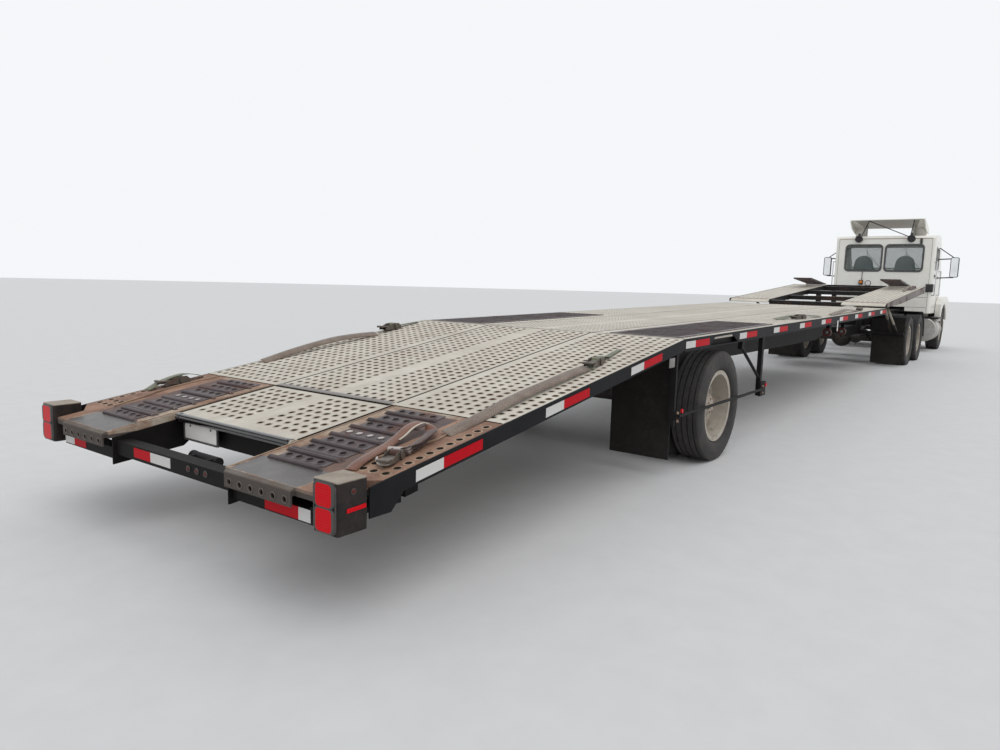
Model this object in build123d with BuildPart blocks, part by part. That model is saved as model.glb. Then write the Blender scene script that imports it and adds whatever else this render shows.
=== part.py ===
from build123d import *
import os

# Car transporter: a conventional tractor with its own short car deck and a low perforated-deck trailer
# that pivots on a stinger hitch behind the drive axles. Millimetres, +X forward, +Y left, +Z up.
# The origin is on the ground, midway along and across the vehicle.

# Overall layout. Stations at the rear are measured forward from the lamp faces, those of the tractor and
# the hitch back from the front bumper; the long front run of the trailer deck takes up what is left.
overall_length = 21000
rear_x = -overall_length / 2
bumper_front_x = rear_x + overall_length
deck_break_x = rear_x + 3270
trailer_axle_x = rear_x + 4100
deck_front_x = bumper_front_x - 9700
tractor_deck_rear_x = bumper_front_x - 9580
hitch_x = bumper_front_x - 8550
drive_axle_spacing = 1320
rear_drive_x = bumper_front_x - 6450
front_drive_x = rear_drive_x + drive_axle_spacing
tractor_deck_front_x = bumper_front_x - 5400
cab_back_x = bumper_front_x - 2650
steer_axle_x = bumper_front_x - 1100
seat_gap = 0.3

# Trailer deck
deck_half_width = 1295
deck_break_z = 1052
deck_rear_slope = 0.143
deck_front_slope = 0.0133
deck_plate = 35
rail_wall = 8
rail_flange = 62
rear_rail_depth = 84
front_rail_depth = 95
panel_gap = 6
centre_panel_half = 508
rear_section_length = 1068
rear_track_inner_y = 533
main_beam_y = 470
main_beam_width = 80
cross_width = 60
cross_depth = 75

# Wheels: y is the middle plane of a tyre, with two for twin wheels
trailer_tyre = dict(radius=457, width=255, rim=298, inner_y=deck_half_width - 425, outer_y=deck_half_width - 135)
rim_wall = 13
hub_radius = 120
spindle_radius = 45
hub_bore = spindle_radius + seat_gap

# Tractor
tractor_half_width = 1290
drive_tyre = dict(radius=480, width=270, rim=298, inner_y=tractor_half_width - 495, outer_y=tractor_half_width - 190)
steer_tyre = dict(radius=500, width=285, rim=298, y=tractor_half_width - 230)
frame_rail_outer_y = 430
frame_rail_width = 90
frame_rail_bottom_z = 735
frame_rail_top_z = 1005
frame_rail_wall = 10
tractor_deck_slope = 0.073
tractor_deck_rear_z = 1235
track_inner_y = 600
track_outer_y = tractor_half_width - 28
tractor_rail_wall = 10
cab_half_width = 1100
cab_wall = 60
cab_bottom_z = 1060
cab_skirt_z = 930
cab_roof_z = 2800
firewall_x = bumper_front_x - 1220
door_rear_x = cab_back_x + 120
door_front_x = cab_back_x + 850
hood_pivot_x = bumper_front_x - 60
hood_pivot_z = 700
hood_pin_radius = 12
hood_lug_y = 420

os.makedirs("parts", exist_ok=True)


def trailer_deck_z(x):
    """Height of the trailer's deck surface above the ground."""
    slope = deck_rear_slope if x < deck_break_x else deck_front_slope
    return deck_break_z + slope * (x - deck_break_x)


def tractor_deck_z(x):
    """Height of the tractor's own deck, which climbs forward over the drive wheels."""
    return tractor_deck_rear_z + tractor_deck_slope * (x - tractor_deck_rear_x)


def follow(height, bend_x, x0, x1, top, bottom):
    """Side outline between two depths under a deck line that bends once."""
    stations = [x0] + ([bend_x] if x0 < bend_x < x1 else []) + [x1]
    lower = [(x, height(x) - bottom) for x in stations]
    upper = [(x, height(x) - top) for x in reversed(stations)]
    return lower + upper


def under_trailer_deck(x0, x1, top, bottom):
    return follow(trailer_deck_z, deck_break_x, x0, x1, top, bottom)


def under_tractor_deck(x0, x1, top, bottom):
    return follow(tractor_deck_z, x0, x0, x1, top, bottom)


def side_plate(outline, y0, y1, mode=Mode.ADD):
    """Extrude a side-view outline of (x, z) points across from y0 to y1."""
    with BuildSketch(Plane.XZ.offset(-y1)) as profile:
        with BuildLine():
            Polyline(*outline, close=True)
        make_face()
    extrude(profile.sketch, amount=y1 - y0, mode=mode)


def both_plates(outline, y0, y1, mode=Mode.ADD):
    """The same side plate on the left and on the right."""
    side_plate(outline, y0, y1, mode)
    side_plate(outline, -y1, -y0, mode)


def plan_plate(outline, z0, z1, mode=Mode.ADD):
    """Extrude a plan outline of (x, y) points up from z0 to z1."""
    with BuildSketch(Plane.XY.offset(z0)) as profile:
        with BuildLine():
            Polyline(*outline, close=True)
        make_face()
    extrude(profile.sketch, amount=z1 - z0, mode=mode)


def end_plate(outline, x0, x1, mode=Mode.ADD):
    """Extrude a rear-view outline of (y, z) points forward from x0 to x1."""
    with BuildSketch(Plane.YZ.offset(x0)) as profile:
        with BuildLine():
            Polyline(*outline, close=True)
        make_face()
    extrude(profile.sketch, amount=x1 - x0, mode=mode)


def block(x0, x1, y0, y1, z0, z1, mode=Mode.ADD):
    with Locations(((x0 + x1) / 2, (y0 + y1) / 2, (z0 + z1) / 2)):
        Box(x1 - x0, y1 - y0, z1 - z0, mode=mode)


def rod(start, end, radius, mode=Mode.ADD):
    run = Vector(*end) - Vector(*start)
    with BuildSketch(Plane(origin=start, z_dir=run)) as profile:
        Circle(radius)
    extrude(profile.sketch, amount=run.length, mode=mode)


def turned(outline, x, z, mode=Mode.ADD):
    """Turn a half section of (y, radius) points about a wheel's axis."""
    with BuildSketch(Plane(origin=(x, 0, z), x_dir=(0, 1, 0), z_dir=(1, 0, 0))) as profile:
        with BuildLine():
            Polyline(*outline, close=True)
        make_face()
    revolve(profile.sketch, axis=Axis((x, 0, z), (0, 1, 0)), mode=mode)


def save(part, name):
    part.label = name
    export_step(part, f"parts/{name}.step")


# Trailer frame: side rails, main beams under cross members, the rear bumper frame and the tongue.
# Each rail, beam and cross member is a solid of its own, laid against the next.
rail_rear_x = rear_x + 175
beam_rear_x = rear_x + 440
front_plate_x = deck_front_x - 12
cross_top = deck_plate + seat_gap
beam_top = cross_top + cross_depth + seat_gap
cross_end_y = deck_half_width - rail_flange - seat_gap
beam_y0 = main_beam_y - main_beam_width / 2
beam_y1 = main_beam_y + main_beam_width / 2
rear_cross_x = [rear_x + d for d in (1380, 2000, 2620, 3200)]
front_cross_count = 10
front_cross_x0 = trailer_axle_x + 860
front_cross_pitch = (deck_front_x - 580 - front_cross_x0) / (front_cross_count - 1)
cross_x = rear_cross_x + [front_cross_x0 + step * front_cross_pitch for step in range(front_cross_count)]
tongue_bottom_z = 785
tongue_top_z = 895
tongue_rear_x = deck_front_x - 1000
coupler_radius = 115
pin_radius = 45
coupler_bore = pin_radius + seat_gap
bumper_bar_x = rear_x + 60
bumper_centre_z = (465, 540)
bumper_outer_z = (435, 497)
bumper_end_y = deck_half_width - 165
# opening in the rail's face over the trailer's wheels
notch = [(trailer_axle_x - 342, 979), (trailer_axle_x - 243, 1041), (trailer_axle_x + 152, 1048),
         (trailer_axle_x + 292, 980)]


def rail_depth(x):
    return rear_rail_depth if x < deck_break_x else front_rail_depth


def beam_run(x0, x1, lower):
    """One length of both main beams: a straight top under the cross members and the given lower points."""
    outline = [(x0, trailer_deck_z(x0) - beam_top)] + lower + [(x1, trailer_deck_z(x1) - beam_top)]
    both_plates(outline, beam_y0, beam_y1)


with BuildPart() as trailer_frame:
    # side rails: channel section, open inwards, in one length behind the bend and one ahead of it
    for x0, x1 in ((rail_rear_x, deck_break_x - seat_gap), (deck_break_x, front_plate_x - seat_gap)):
        depth = rail_depth(x0)
        y1 = deck_half_width
        both_plates(under_trailer_deck(x0, x1, 0, depth), y1 - rail_wall, y1)
        both_plates(under_trailer_deck(x0, x1, deck_plate, deck_plate + rail_wall), y1 - rail_flange, y1)
        both_plates(under_trailer_deck(x0, x1, depth - rail_wall, depth), y1 - rail_flange, y1)
    both_plates(notch, deck_half_width - rail_wall - 1, deck_half_width + 1, mode=Mode.SUBTRACT)
    both_plates(under_trailer_deck(trailer_axle_x - 400, trailer_axle_x + 330, deck_plate, front_rail_depth),
                deck_half_width - 40, deck_half_width - 34)
    # deeper plate at the rear corner, beside the lamp box
    both_plates([(rail_rear_x, 480), (rail_rear_x + 120, 480), (rail_rear_x + 200, 560),
                 (rail_rear_x + 200, trailer_deck_z(rail_rear_x + 200) - 40),
                 (rail_rear_x, trailer_deck_z(rail_rear_x) - 40)], deck_half_width - rail_wall, deck_half_width)
    # main beams in three lengths
    beam_run(beam_rear_x + 80 + seat_gap, deck_break_x - seat_gap,
             [(beam_rear_x + 80 + seat_gap, 470), (rear_x + 2600, 740), (deck_break_x - seat_gap, 790)])
    beam_run(deck_break_x, trailer_axle_x + 900 - seat_gap,
             [(deck_break_x, 790), (trailer_axle_x + 900 - seat_gap, 790)])
    beam_run(trailer_axle_x + 900, front_plate_x - seat_gap,
             [(trailer_axle_x + 900, 790), (trailer_axle_x + 1900, 650), (tongue_rear_x, 650),
              (front_plate_x - seat_gap, tongue_bottom_z)])
    for x in cross_x:
        side_plate(under_trailer_deck(x, x + cross_width, cross_top, cross_top + cross_depth), -cross_end_y, cross_end_y)
    side_plate(under_trailer_deck(front_plate_x, deck_front_x, 0, 160), -deck_half_width, deck_half_width)
    # rear frame: closing member, inner skirts of the rear tracks and the bumper bars they carry
    side_plate(under_trailer_deck(beam_rear_x, beam_rear_x + 80, deck_plate + seat_gap, 150), -cross_end_y, cross_end_y)
    both_plates([(rear_x + 40, 412), (beam_rear_x, 450), (rear_x + 560, trailer_deck_z(rear_x + 560) - 125),
                 (rear_x + rear_section_length, trailer_deck_z(rear_x + rear_section_length) - 125),
                 (rear_x + rear_section_length, trailer_deck_z(rear_x + rear_section_length) - cross_top),
                 (rear_x + 40, trailer_deck_z(rear_x + 40) - cross_top)],
                rear_track_inner_y - rail_wall, rear_track_inner_y)
    block(bumper_bar_x, bumper_bar_x + 80, -rear_track_inner_y + 2, rear_track_inner_y - 2, *bumper_centre_z)
    for side in (-1, 1):
        inner, outer = side * (rear_track_inner_y - 2), side * bumper_end_y
        block(bumper_bar_x, bumper_bar_x + 80, min(inner, outer), max(inner, outer), *bumper_outer_z)
        arm_y = side * (bumper_end_y - 30)
        block(bumper_bar_x, beam_rear_x + 80, arm_y - 30, arm_y + 30, bumper_outer_z[0], 510)
    # tongue: a tapering box with a window, ending in the coupler ring
    plan_plate(
        [(tongue_rear_x, -beam_y0 + seat_gap), (deck_front_x, -beam_y0 + seat_gap), (hitch_x, -coupler_radius),
         (hitch_x, coupler_radius), (deck_front_x, beam_y0 - seat_gap), (tongue_rear_x, beam_y0 - seat_gap)],
        tongue_bottom_z, tongue_top_z,
    )
    plan_plate(
        [(tongue_rear_x + 90, -beam_y0 + 90), (deck_front_x, -beam_y0 + 110), (hitch_x - 330, -70),
         (hitch_x - 330, 70), (deck_front_x, beam_y0 - 110), (tongue_rear_x + 90, beam_y0 - 90)],
        tongue_bottom_z, tongue_top_z, mode=Mode.SUBTRACT,
    )
    rod((hitch_x, 0, tongue_bottom_z), (hitch_x, 0, tongue_top_z), coupler_radius)
    rod((hitch_x, 0, tongue_bottom_z), (hitch_x, 0, tongue_top_z), coupler_bore, mode=Mode.SUBTRACT)
save(trailer_frame.part, "trailer_frame")

# Trailer deck: three lengthwise panels on the slope and three on the long front run
joint_bar_x = rear_x + rear_section_length + 20
grate_x0 = deck_break_x + 60
grate_x1 = grate_x0 + 2230
grate_y0 = 640
grate_y1 = deck_half_width - 65
panel_edge = deck_half_width - rail_wall - seat_gap
panel_runs = [
    (rear_x + rear_section_length + 40, deck_break_x - panel_gap / 2),
    (deck_break_x + panel_gap / 2, front_plate_x - seat_gap),
]
panel_strips = [
    (-panel_edge, -centre_panel_half - panel_gap / 2),
    (-centre_panel_half + panel_gap / 2, centre_panel_half - panel_gap / 2),
    (centre_panel_half + panel_gap / 2, panel_edge),
]
with BuildPart() as trailer_deck:
    for x0, x1 in panel_runs:
        for y0, y1 in panel_strips:
            side_plate(under_trailer_deck(x0, x1, 0, deck_plate), y0, y1)
    # raised bar across the joint between the rear tracks and the panels
    side_plate(under_trailer_deck(joint_bar_x - 20 + seat_gap, joint_bar_x + 20 - seat_gap, -4, deck_plate),
               -panel_edge, panel_edge)
    both_plates(under_trailer_deck(grate_x0, grate_x1, -10, deck_plate + 10), grate_y0, grate_y1, mode=Mode.SUBTRACT)
save(trailer_deck.part, "trailer_deck")

# Traction grates over the trailer's wheels: a frame filled with cross bars
grate_bars = 30
grate_bar_width = 22
grate_rim = 40
with BuildPart() as traction_grates:
    side_plate(under_trailer_deck(grate_x0 + seat_gap, grate_x1 - seat_gap, -6, deck_plate),
               grate_y0 + seat_gap, grate_y1 - seat_gap)
    side_plate(under_trailer_deck(grate_x0 + grate_rim, grate_x1 - grate_rim, -10, deck_plate + 5),
               grate_y0 + grate_rim, grate_y1 - grate_rim, mode=Mode.SUBTRACT)
    grate_pitch = (grate_x1 - grate_x0 - 2 * grate_rim) / (grate_bars + 1)
    for step in range(grate_bars):
        x = grate_x0 + grate_rim + (step + 1) * grate_pitch
        side_plate(under_trailer_deck(x - grate_bar_width / 2, x + grate_bar_width / 2, -6, deck_plate - 5),
                   grate_y0 + grate_rim / 2, grate_y1 - grate_rim / 2)
    mirror(about=Plane.XZ)
save(traction_grates.part, "traction_grates")

# Lamp boxes at the rear corners, each with two recesses for the lamps
box_width = 147
box_length = 155
box_bottom_z = 445
box_top_z = 659
lamp_size = 92
lamp_proud = 10
lamp_z = [box_bottom_z + 57, box_top_z - 57]
box_face_x = rear_x + lamp_proud
box_inner_y = deck_half_width - box_width
box_mid_y = deck_half_width - box_width / 2
with BuildPart() as lamp_boxes:
    block(box_face_x, box_face_x + box_length, box_inner_y, deck_half_width, box_bottom_z, box_top_z)
    fillet(lamp_boxes.edges().filter_by(Axis.Z), 12)
    for z in lamp_z:
        block(box_face_x - 5, box_face_x + 25, box_mid_y - lamp_size / 2 - seat_gap,
              box_mid_y + lamp_size / 2 + seat_gap, z - lamp_size / 2 - seat_gap, z + lamp_size / 2 + seat_gap,
              mode=Mode.SUBTRACT)
    # bracket that ties the box to the bumper arm
    block(box_face_x + 50, box_face_x + 110, bumper_end_y + seat_gap, box_inner_y + 5, bumper_outer_z[0] + 15,
          bumper_outer_z[1])
    mirror(about=Plane.XZ)
save(lamp_boxes.part, "lamp_boxes")

with BuildPart() as tail_lamps:
    for side in (-1, 1):
        for z in lamp_z:
            with BuildSketch(Plane(origin=(rear_x, side * box_mid_y, z), x_dir=(0, 1, 0), z_dir=(1, 0, 0))):
                RectangleRounded(lamp_size, lamp_size, 18)
            extrude(amount=lamp_proud + 24)
save(tail_lamps.part, "tail_lamps")

# Rear tracks: the two ramp-like decks at the tail, with a hanging perforated end plate
rear_bar_x = [rear_x + d for d in (205, 310, 330, 445, 560, 690, 810, 940)]
rear_bar_radius = 11
rear_bar_reach = 350
end_plate_holes = 6
with BuildPart() as rear_tracks:
    plan_z = trailer_deck_z(rear_x)
    side_plate(under_trailer_deck(rear_x + 25, rear_x + rear_section_length, 0, deck_plate),
               rear_track_inner_y + seat_gap, panel_edge)
    # room for the lamp box, and a slanted corner beside it
    plan_plate(
        [(rear_x, box_inner_y - 8), (rear_x + 170, box_inner_y - 8), (rear_x + 260, deck_half_width + 1),
         (rear_x, deck_half_width + 1)],
        plan_z - 100, plan_z + 100, mode=Mode.SUBTRACT,
    )
    # hanging end plate with a row of round holes
    end_y0 = rear_track_inner_y + 25
    end_y1 = deck_half_width - 275
    side_plate([(rear_x + 25, plan_z - 30), (rear_x + 25, plan_z + 3.5), (rear_x + 2, plan_z - 4),
                (rear_x + 2, plan_z - 75), (rear_x + 10, plan_z - 75), (rear_x + 10, plan_z - 30)], end_y0, end_y1)
    for step in range(end_plate_holes):
        y = end_y0 + (step + 0.5) * (end_y1 - end_y0) / end_plate_holes
        rod((rear_x - 5, y, plan_z - 48), (rear_x + 20, y, plan_z - 48), 13, mode=Mode.SUBTRACT)
    for x in rear_bar_x:
        z = trailer_deck_z(x) + 4
        rod((x, rear_track_inner_y + 75, z), (x, rear_track_inner_y + 75 + rear_bar_reach, z), rear_bar_radius)
    mirror(about=Plane.XZ)
save(rear_tracks.part, "rear_tracks")

# Drop-in panel between the rear tracks, with a round tube along its rear edge
with BuildPart() as centre_panel:
    panel_y = rear_track_inner_y - rail_wall - seat_gap
    side_plate(under_trailer_deck(rear_x + 420, rear_x + rear_section_length, 0, deck_plate), -panel_y, panel_y)
    tube_x = rear_x + 405
    tube_z = trailer_deck_z(tube_x) - 18
    rod((tube_x, -panel_y + 12, tube_z), (tube_x, panel_y - 12, tube_z), 22)
save(centre_panel.part, "centre_panel")

# Trailer axle: tube, spindles, trailing arms, hangers and air springs
axle_tube_radius = 64
hanger_top_z = 790 - seat_gap
with BuildPart() as trailer_axle:
    axle_z = trailer_tyre["radius"]
    spindle_end = trailer_tyre["outer_y"] - 60
    rod((trailer_axle_x, -main_beam_y - 220, axle_z), (trailer_axle_x, main_beam_y + 220, axle_z), axle_tube_radius)
    rod((trailer_axle_x, -spindle_end, axle_z), (trailer_axle_x, spindle_end, axle_z), spindle_radius)
    for side in (-1, 1):
        y = side * main_beam_y
        side_plate([(trailer_axle_x - 330, axle_z + 40), (trailer_axle_x + 80, axle_z + 30),
                    (trailer_axle_x + 640, axle_z + 150), (trailer_axle_x + 640, axle_z + 230),
                    (trailer_axle_x + 60, axle_z + 110), (trailer_axle_x - 330, axle_z + 90)], y - 40, y + 40)
        side_plate([(trailer_axle_x + 540, axle_z + 110), (trailer_axle_x + 740, axle_z + 110),
                    (trailer_axle_x + 790, hanger_top_z), (trailer_axle_x + 490, hanger_top_z)], y - 50, y + 50)
        rod((trailer_axle_x - 230, y, axle_z + 80), (trailer_axle_x - 230, y, hanger_top_z), 110)
save(trailer_axle.part, "trailer_axle")

# Wheel guards beside the trailer's wheels: front post, long rail and rear post with its lamp
guard_y = deck_half_width + 13
guard_z = 497
guard_front_x = trailer_axle_x + 1050
guard_rear_x = trailer_axle_x - 920
post_y0 = deck_half_width - 55
post_y1 = deck_half_width - 15


def hanging_post(x, half, low):
    """Upright plate from a low level up to the underside of the side rail."""
    top = rail_depth(x) + seat_gap
    side_plate([(x - half, low), (x + half, low), (x + half, trailer_deck_z(x + half) - top),
                (x - half, trailer_deck_z(x - half) - top)], post_y0, post_y1)


with BuildPart() as wheel_guards:
    hanging_post(guard_front_x, 25, 430)
    hanging_post(guard_rear_x, 14, 420)
    block(guard_front_x - 60, guard_front_x + 90, post_y1 - 5, guard_y - 8, 430, 560)
    block(guard_rear_x - 14, guard_rear_x + 14, post_y1 - 5, guard_y - 8, 470, 525)
    rod((guard_rear_x, guard_y, guard_z), (guard_front_x, guard_y, guard_z), 12)
    brace_x = guard_front_x - 560
    rod((guard_front_x - 20, post_y0 + 20, 600), (brace_x, post_y0 + 20, 920), 14)
    hanging_post(brace_x, 30, 900)
    mirror(about=Plane.XZ)
save(wheel_guards.part, "wheel_guards")


# Tractor frame: two channel rails, cross members between them, and the stinger with its hitch pin
rail_inner_y = frame_rail_outer_y - frame_rail_width
rails_rear_x = hitch_x + 1250
rails_front_x = bumper_front_x - 400
stinger_top_z = 773
stinger_bottom_z = 600
stinger_y0 = frame_rail_outer_y + seat_gap
stinger_y1 = stinger_y0 + 25
web_y = frame_rail_outer_y - frame_rail_wall - seat_gap
frame_cross_x = [rails_rear_x + 20, rails_rear_x + 1460, front_drive_x + 830, front_drive_x + 1730,
                 cab_back_x - 50, cab_back_x + 550, rails_front_x - 80]
cab_mount_x = [cab_back_x + 150, cab_back_x + 1250]
flap_x = hitch_x + 1330
with BuildPart() as tractor_frame:
    block(rails_rear_x, rails_front_x, rail_inner_y, frame_rail_outer_y, frame_rail_bottom_z, frame_rail_top_z)
    block(rails_rear_x - 1, rails_front_x + 1, rail_inner_y - 1, frame_rail_outer_y - frame_rail_wall,
          frame_rail_bottom_z + frame_rail_wall, frame_rail_top_z - frame_rail_wall, mode=Mode.SUBTRACT)
    for x in cab_mount_x:
        block(x - 60, x + 60, rail_inner_y, frame_rail_outer_y, frame_rail_top_z, cab_bottom_z - seat_gap)
    # drop plate that carries the stinger below the trailer's tongue
    side_plate(
        [(hitch_x - 200, stinger_bottom_z + 80), (hitch_x - 120, stinger_bottom_z),
         (rails_rear_x + 150, stinger_bottom_z), (rails_rear_x + 330, frame_rail_bottom_z),
         (rails_rear_x + 330, frame_rail_top_z - 20), (rails_rear_x, frame_rail_top_z - 20),
         (rails_rear_x - 130, stinger_top_z), (hitch_x - 200, stinger_top_z)],
        stinger_y0, stinger_y1,
    )
    mirror(about=Plane.XZ)
    for x in frame_cross_x:
        block(x, x + 70, -web_y, web_y, frame_rail_bottom_z + 30, frame_rail_top_z - 40)
    block(hitch_x - 200, rails_rear_x - 140, -stinger_y0 - 5, stinger_y0 + 5, stinger_top_z - 20, stinger_top_z)
    block(hitch_x - 200, hitch_x - 180, -stinger_y0 - 5, stinger_y0 + 5, stinger_bottom_z + 80, stinger_top_z)
    rod((hitch_x, 0, stinger_top_z - 10), (hitch_x, 0, tongue_top_z + 15), pin_radius)
    # cross tube behind the drive wheels, for the mud flaps and the deck struts
    rod((flap_x, -tractor_half_width + 60, 640), (flap_x, tractor_half_width - 60, 640), 30)
save(tractor_frame.part, "tractor_frame")

# Tractor deck frame: angle side rails, inner rails, cross members between them, posts and rear struts.
# Cross members are cut at the inner rails, so each length is a solid of its own.
tractor_plate = 30
tractor_rail_flange = 60
inner_rail_depth = 90
deck_cross_x = [tractor_deck_rear_x + d for d in (60, 1230, 2560, 3880)]
strut_top_x = [tractor_deck_rear_x + d for d in (950, 1380)]
strut_y = [tractor_half_width - 170, tractor_half_width - 280]
deck_post_x = deck_cross_x[2:]
rail_front_x = tractor_deck_front_x - 24 - seat_gap
ledge_top = tractor_plate + seat_gap
ledge_bottom = ledge_top + 24
rail_mid_x = tractor_deck_rear_x + 1280
tractor_rail_outline = [
    (tractor_deck_rear_x, tractor_deck_z(tractor_deck_rear_x) - 60),
    (rail_mid_x, tractor_deck_z(rail_mid_x) - 110),
    (rail_front_x, tractor_deck_z(rail_front_x) - 130),
    (rail_front_x, tractor_deck_z(rail_front_x)),
    (tractor_deck_rear_x, tractor_deck_z(tractor_deck_rear_x)),
]
with BuildPart() as tractor_deck_frame:
    web_in_y = tractor_half_width - tractor_rail_wall
    side_plate(tractor_rail_outline, web_in_y, tractor_half_width)
    side_plate(under_tractor_deck(tractor_deck_rear_x + 60, rail_front_x, ledge_top, ledge_bottom),
               tractor_half_width - tractor_rail_flange, tractor_half_width)
    side_plate(under_tractor_deck(tractor_deck_rear_x + 60, rail_front_x, 0, inner_rail_depth),
               track_inner_y - 10, track_inner_y - 2)
    side_plate(under_tractor_deck(tractor_deck_rear_x + 60, rail_front_x, ledge_top, ledge_bottom),
               track_inner_y - 10, track_inner_y + 50)
    for x in deck_cross_x[1:] + strut_top_x:
        side_plate(under_tractor_deck(x, x + 80, ledge_bottom + seat_gap, ledge_bottom + 50),
                   track_inner_y - 2 + seat_gap, web_in_y - seat_gap)
    for x in deck_post_x:
        block(x, x + 80, rail_inner_y + 5, frame_rail_outer_y, frame_rail_top_z + seat_gap,
              tractor_deck_z(x) - inner_rail_depth - seat_gap)
    # struts from under the deck back down to the cross tube
    for top_x, y in zip(strut_top_x, strut_y):
        seat_z = tractor_deck_z(top_x) - ledge_bottom - 50 - seat_gap
        rod((top_x + 40, y, seat_z - 14), (flap_x - 35, y, 665), 20)
        block(top_x + 10, top_x + 70, y - 25, y + 25, seat_z - 34, seat_z)
    mirror(about=Plane.XZ)
    for x in deck_cross_x:
        side_plate(under_tractor_deck(x, x + 80, 18, inner_rail_depth), -track_inner_y + 10 + seat_gap,
                   track_inner_y - 10 - seat_gap)
    side_plate(under_tractor_deck(tractor_deck_front_x - 24, tractor_deck_front_x, 0, 130),
               -tractor_half_width, tractor_half_width)
save(tractor_deck_frame.part, "tractor_deck_frame")

# Tractor tracks: perforated plates with a bevelled tail that rests over the trailer deck
flip_rear_x = tractor_deck_front_x - 1200
flip_hinge_x = tractor_deck_front_x - 60
flip_inner_y = 645
flip_outer_y = 1005
flip_hinge_z = tractor_deck_z(flip_hinge_x) + 22
track_front_x = rail_front_x
with BuildPart() as tractor_tracks:
    side_plate(under_tractor_deck(tractor_deck_rear_x + 60, track_front_x, 0, tractor_plate),
               track_inner_y, track_outer_y)
    side_plate([(tractor_deck_rear_x - 40, tractor_deck_rear_z - 54),
                (tractor_deck_rear_x + 60, tractor_deck_rear_z - 30),
                (tractor_deck_rear_x + 60, tractor_deck_z(tractor_deck_rear_x + 60)),
                (tractor_deck_rear_x - 40, tractor_deck_rear_z - 42)], track_inner_y, track_outer_y)
    # hinge pins of the flip plates, each between two lugs
    rod((flip_hinge_x, flip_inner_y - 30, flip_hinge_z), (flip_hinge_x, flip_outer_y + 30, flip_hinge_z), 10)
    # the lugs stand square to the sloping deck
    lug_sides = [(flip_hinge_x - tractor_deck_slope * up + along, tractor_deck_z(flip_hinge_x + along) + up)
                 for along, up in ((-20, -10), (20, -10), (20, 36), (-20, 36))]
    for y in (flip_inner_y - 18, flip_outer_y + 18):
        side_plate(lug_sides, y - 12, y + 12)
    mirror(about=Plane.XZ)
save(tractor_tracks.part, "tractor_tracks")

# Flip-up wheel plates, hinged at their front edge and propped a little above the tracks
flip_thickness = 26
flip_rear_z = tractor_deck_z(flip_rear_x) + 214
flip_bars = 11
flip_bar_pitch = 94
for side, side_name in ((1, "left"), (-1, "right")):
    with BuildPart() as flip_plate:
        rise = (flip_rear_z - flip_hinge_z) / (flip_hinge_x - flip_rear_x)
        y0 = min(side * flip_inner_y, side * flip_outer_y)
        y1 = max(side * flip_inner_y, side * flip_outer_y)
        side_plate([(flip_rear_x, flip_rear_z - flip_thickness), (flip_hinge_x, flip_hinge_z - flip_thickness / 2),
                    (flip_hinge_x, flip_hinge_z + flip_thickness / 2), (flip_rear_x, flip_rear_z)], y0, y1)
        for step in range(flip_bars):
            x = flip_rear_x + 50 + step * flip_bar_pitch
            z = flip_rear_z - flip_thickness / 2 - (x - flip_rear_x) * rise
            block(x, x + 50, y0 + 40, y1 - 40, z - 60, z + 60, mode=Mode.SUBTRACT)
        rod((flip_hinge_x, y0, flip_hinge_z), (flip_hinge_x, y1, flip_hinge_z), 16)
        rod((flip_hinge_x, y0, flip_hinge_z), (flip_hinge_x, y1, flip_hinge_z), 10 + seat_gap, mode=Mode.SUBTRACT)
    save(flip_plate.part, f"flip_plate_{side_name}")

# Drive axles with their differentials, walking beams and trunnion brackets
drive_z = drive_tyre["radius"]
trunnion_x = (rear_drive_x + front_drive_x) / 2
with BuildPart() as drive_axles:
    for x in (rear_drive_x, front_drive_x):
        rod((x, -640, drive_z), (x, 640, drive_z), 66)
        rod((x, -drive_tyre["outer_y"] + 60, drive_z), (x, drive_tyre["outer_y"] - 60, drive_z), spindle_radius)
        with Locations((x, 0, drive_z)):
            Sphere(195)
        block(x, x + 250, -90, 90, drive_z - 60, drive_z + 110)
    for side in (-1, 1):
        y = side * 500
        side_plate([(rear_drive_x - 90, drive_z - 60), (front_drive_x + 90, drive_z - 60), (front_drive_x + 90, drive_z + 60),
                    (trunnion_x + 160, drive_z + 150), (trunnion_x - 160, drive_z + 150), (rear_drive_x - 90, drive_z + 60)],
                   y - 35, y + 35)
        side_plate([(trunnion_x - 120, drive_z + 80), (trunnion_x + 120, drive_z + 80), (trunnion_x + 220, 960),
                    (trunnion_x - 220, 960)], min(side * (frame_rail_outer_y + seat_gap), y + side * 35),
                   max(side * (frame_rail_outer_y + seat_gap), y + side * 35))
save(drive_axles.part, "drive_axles")

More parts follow.
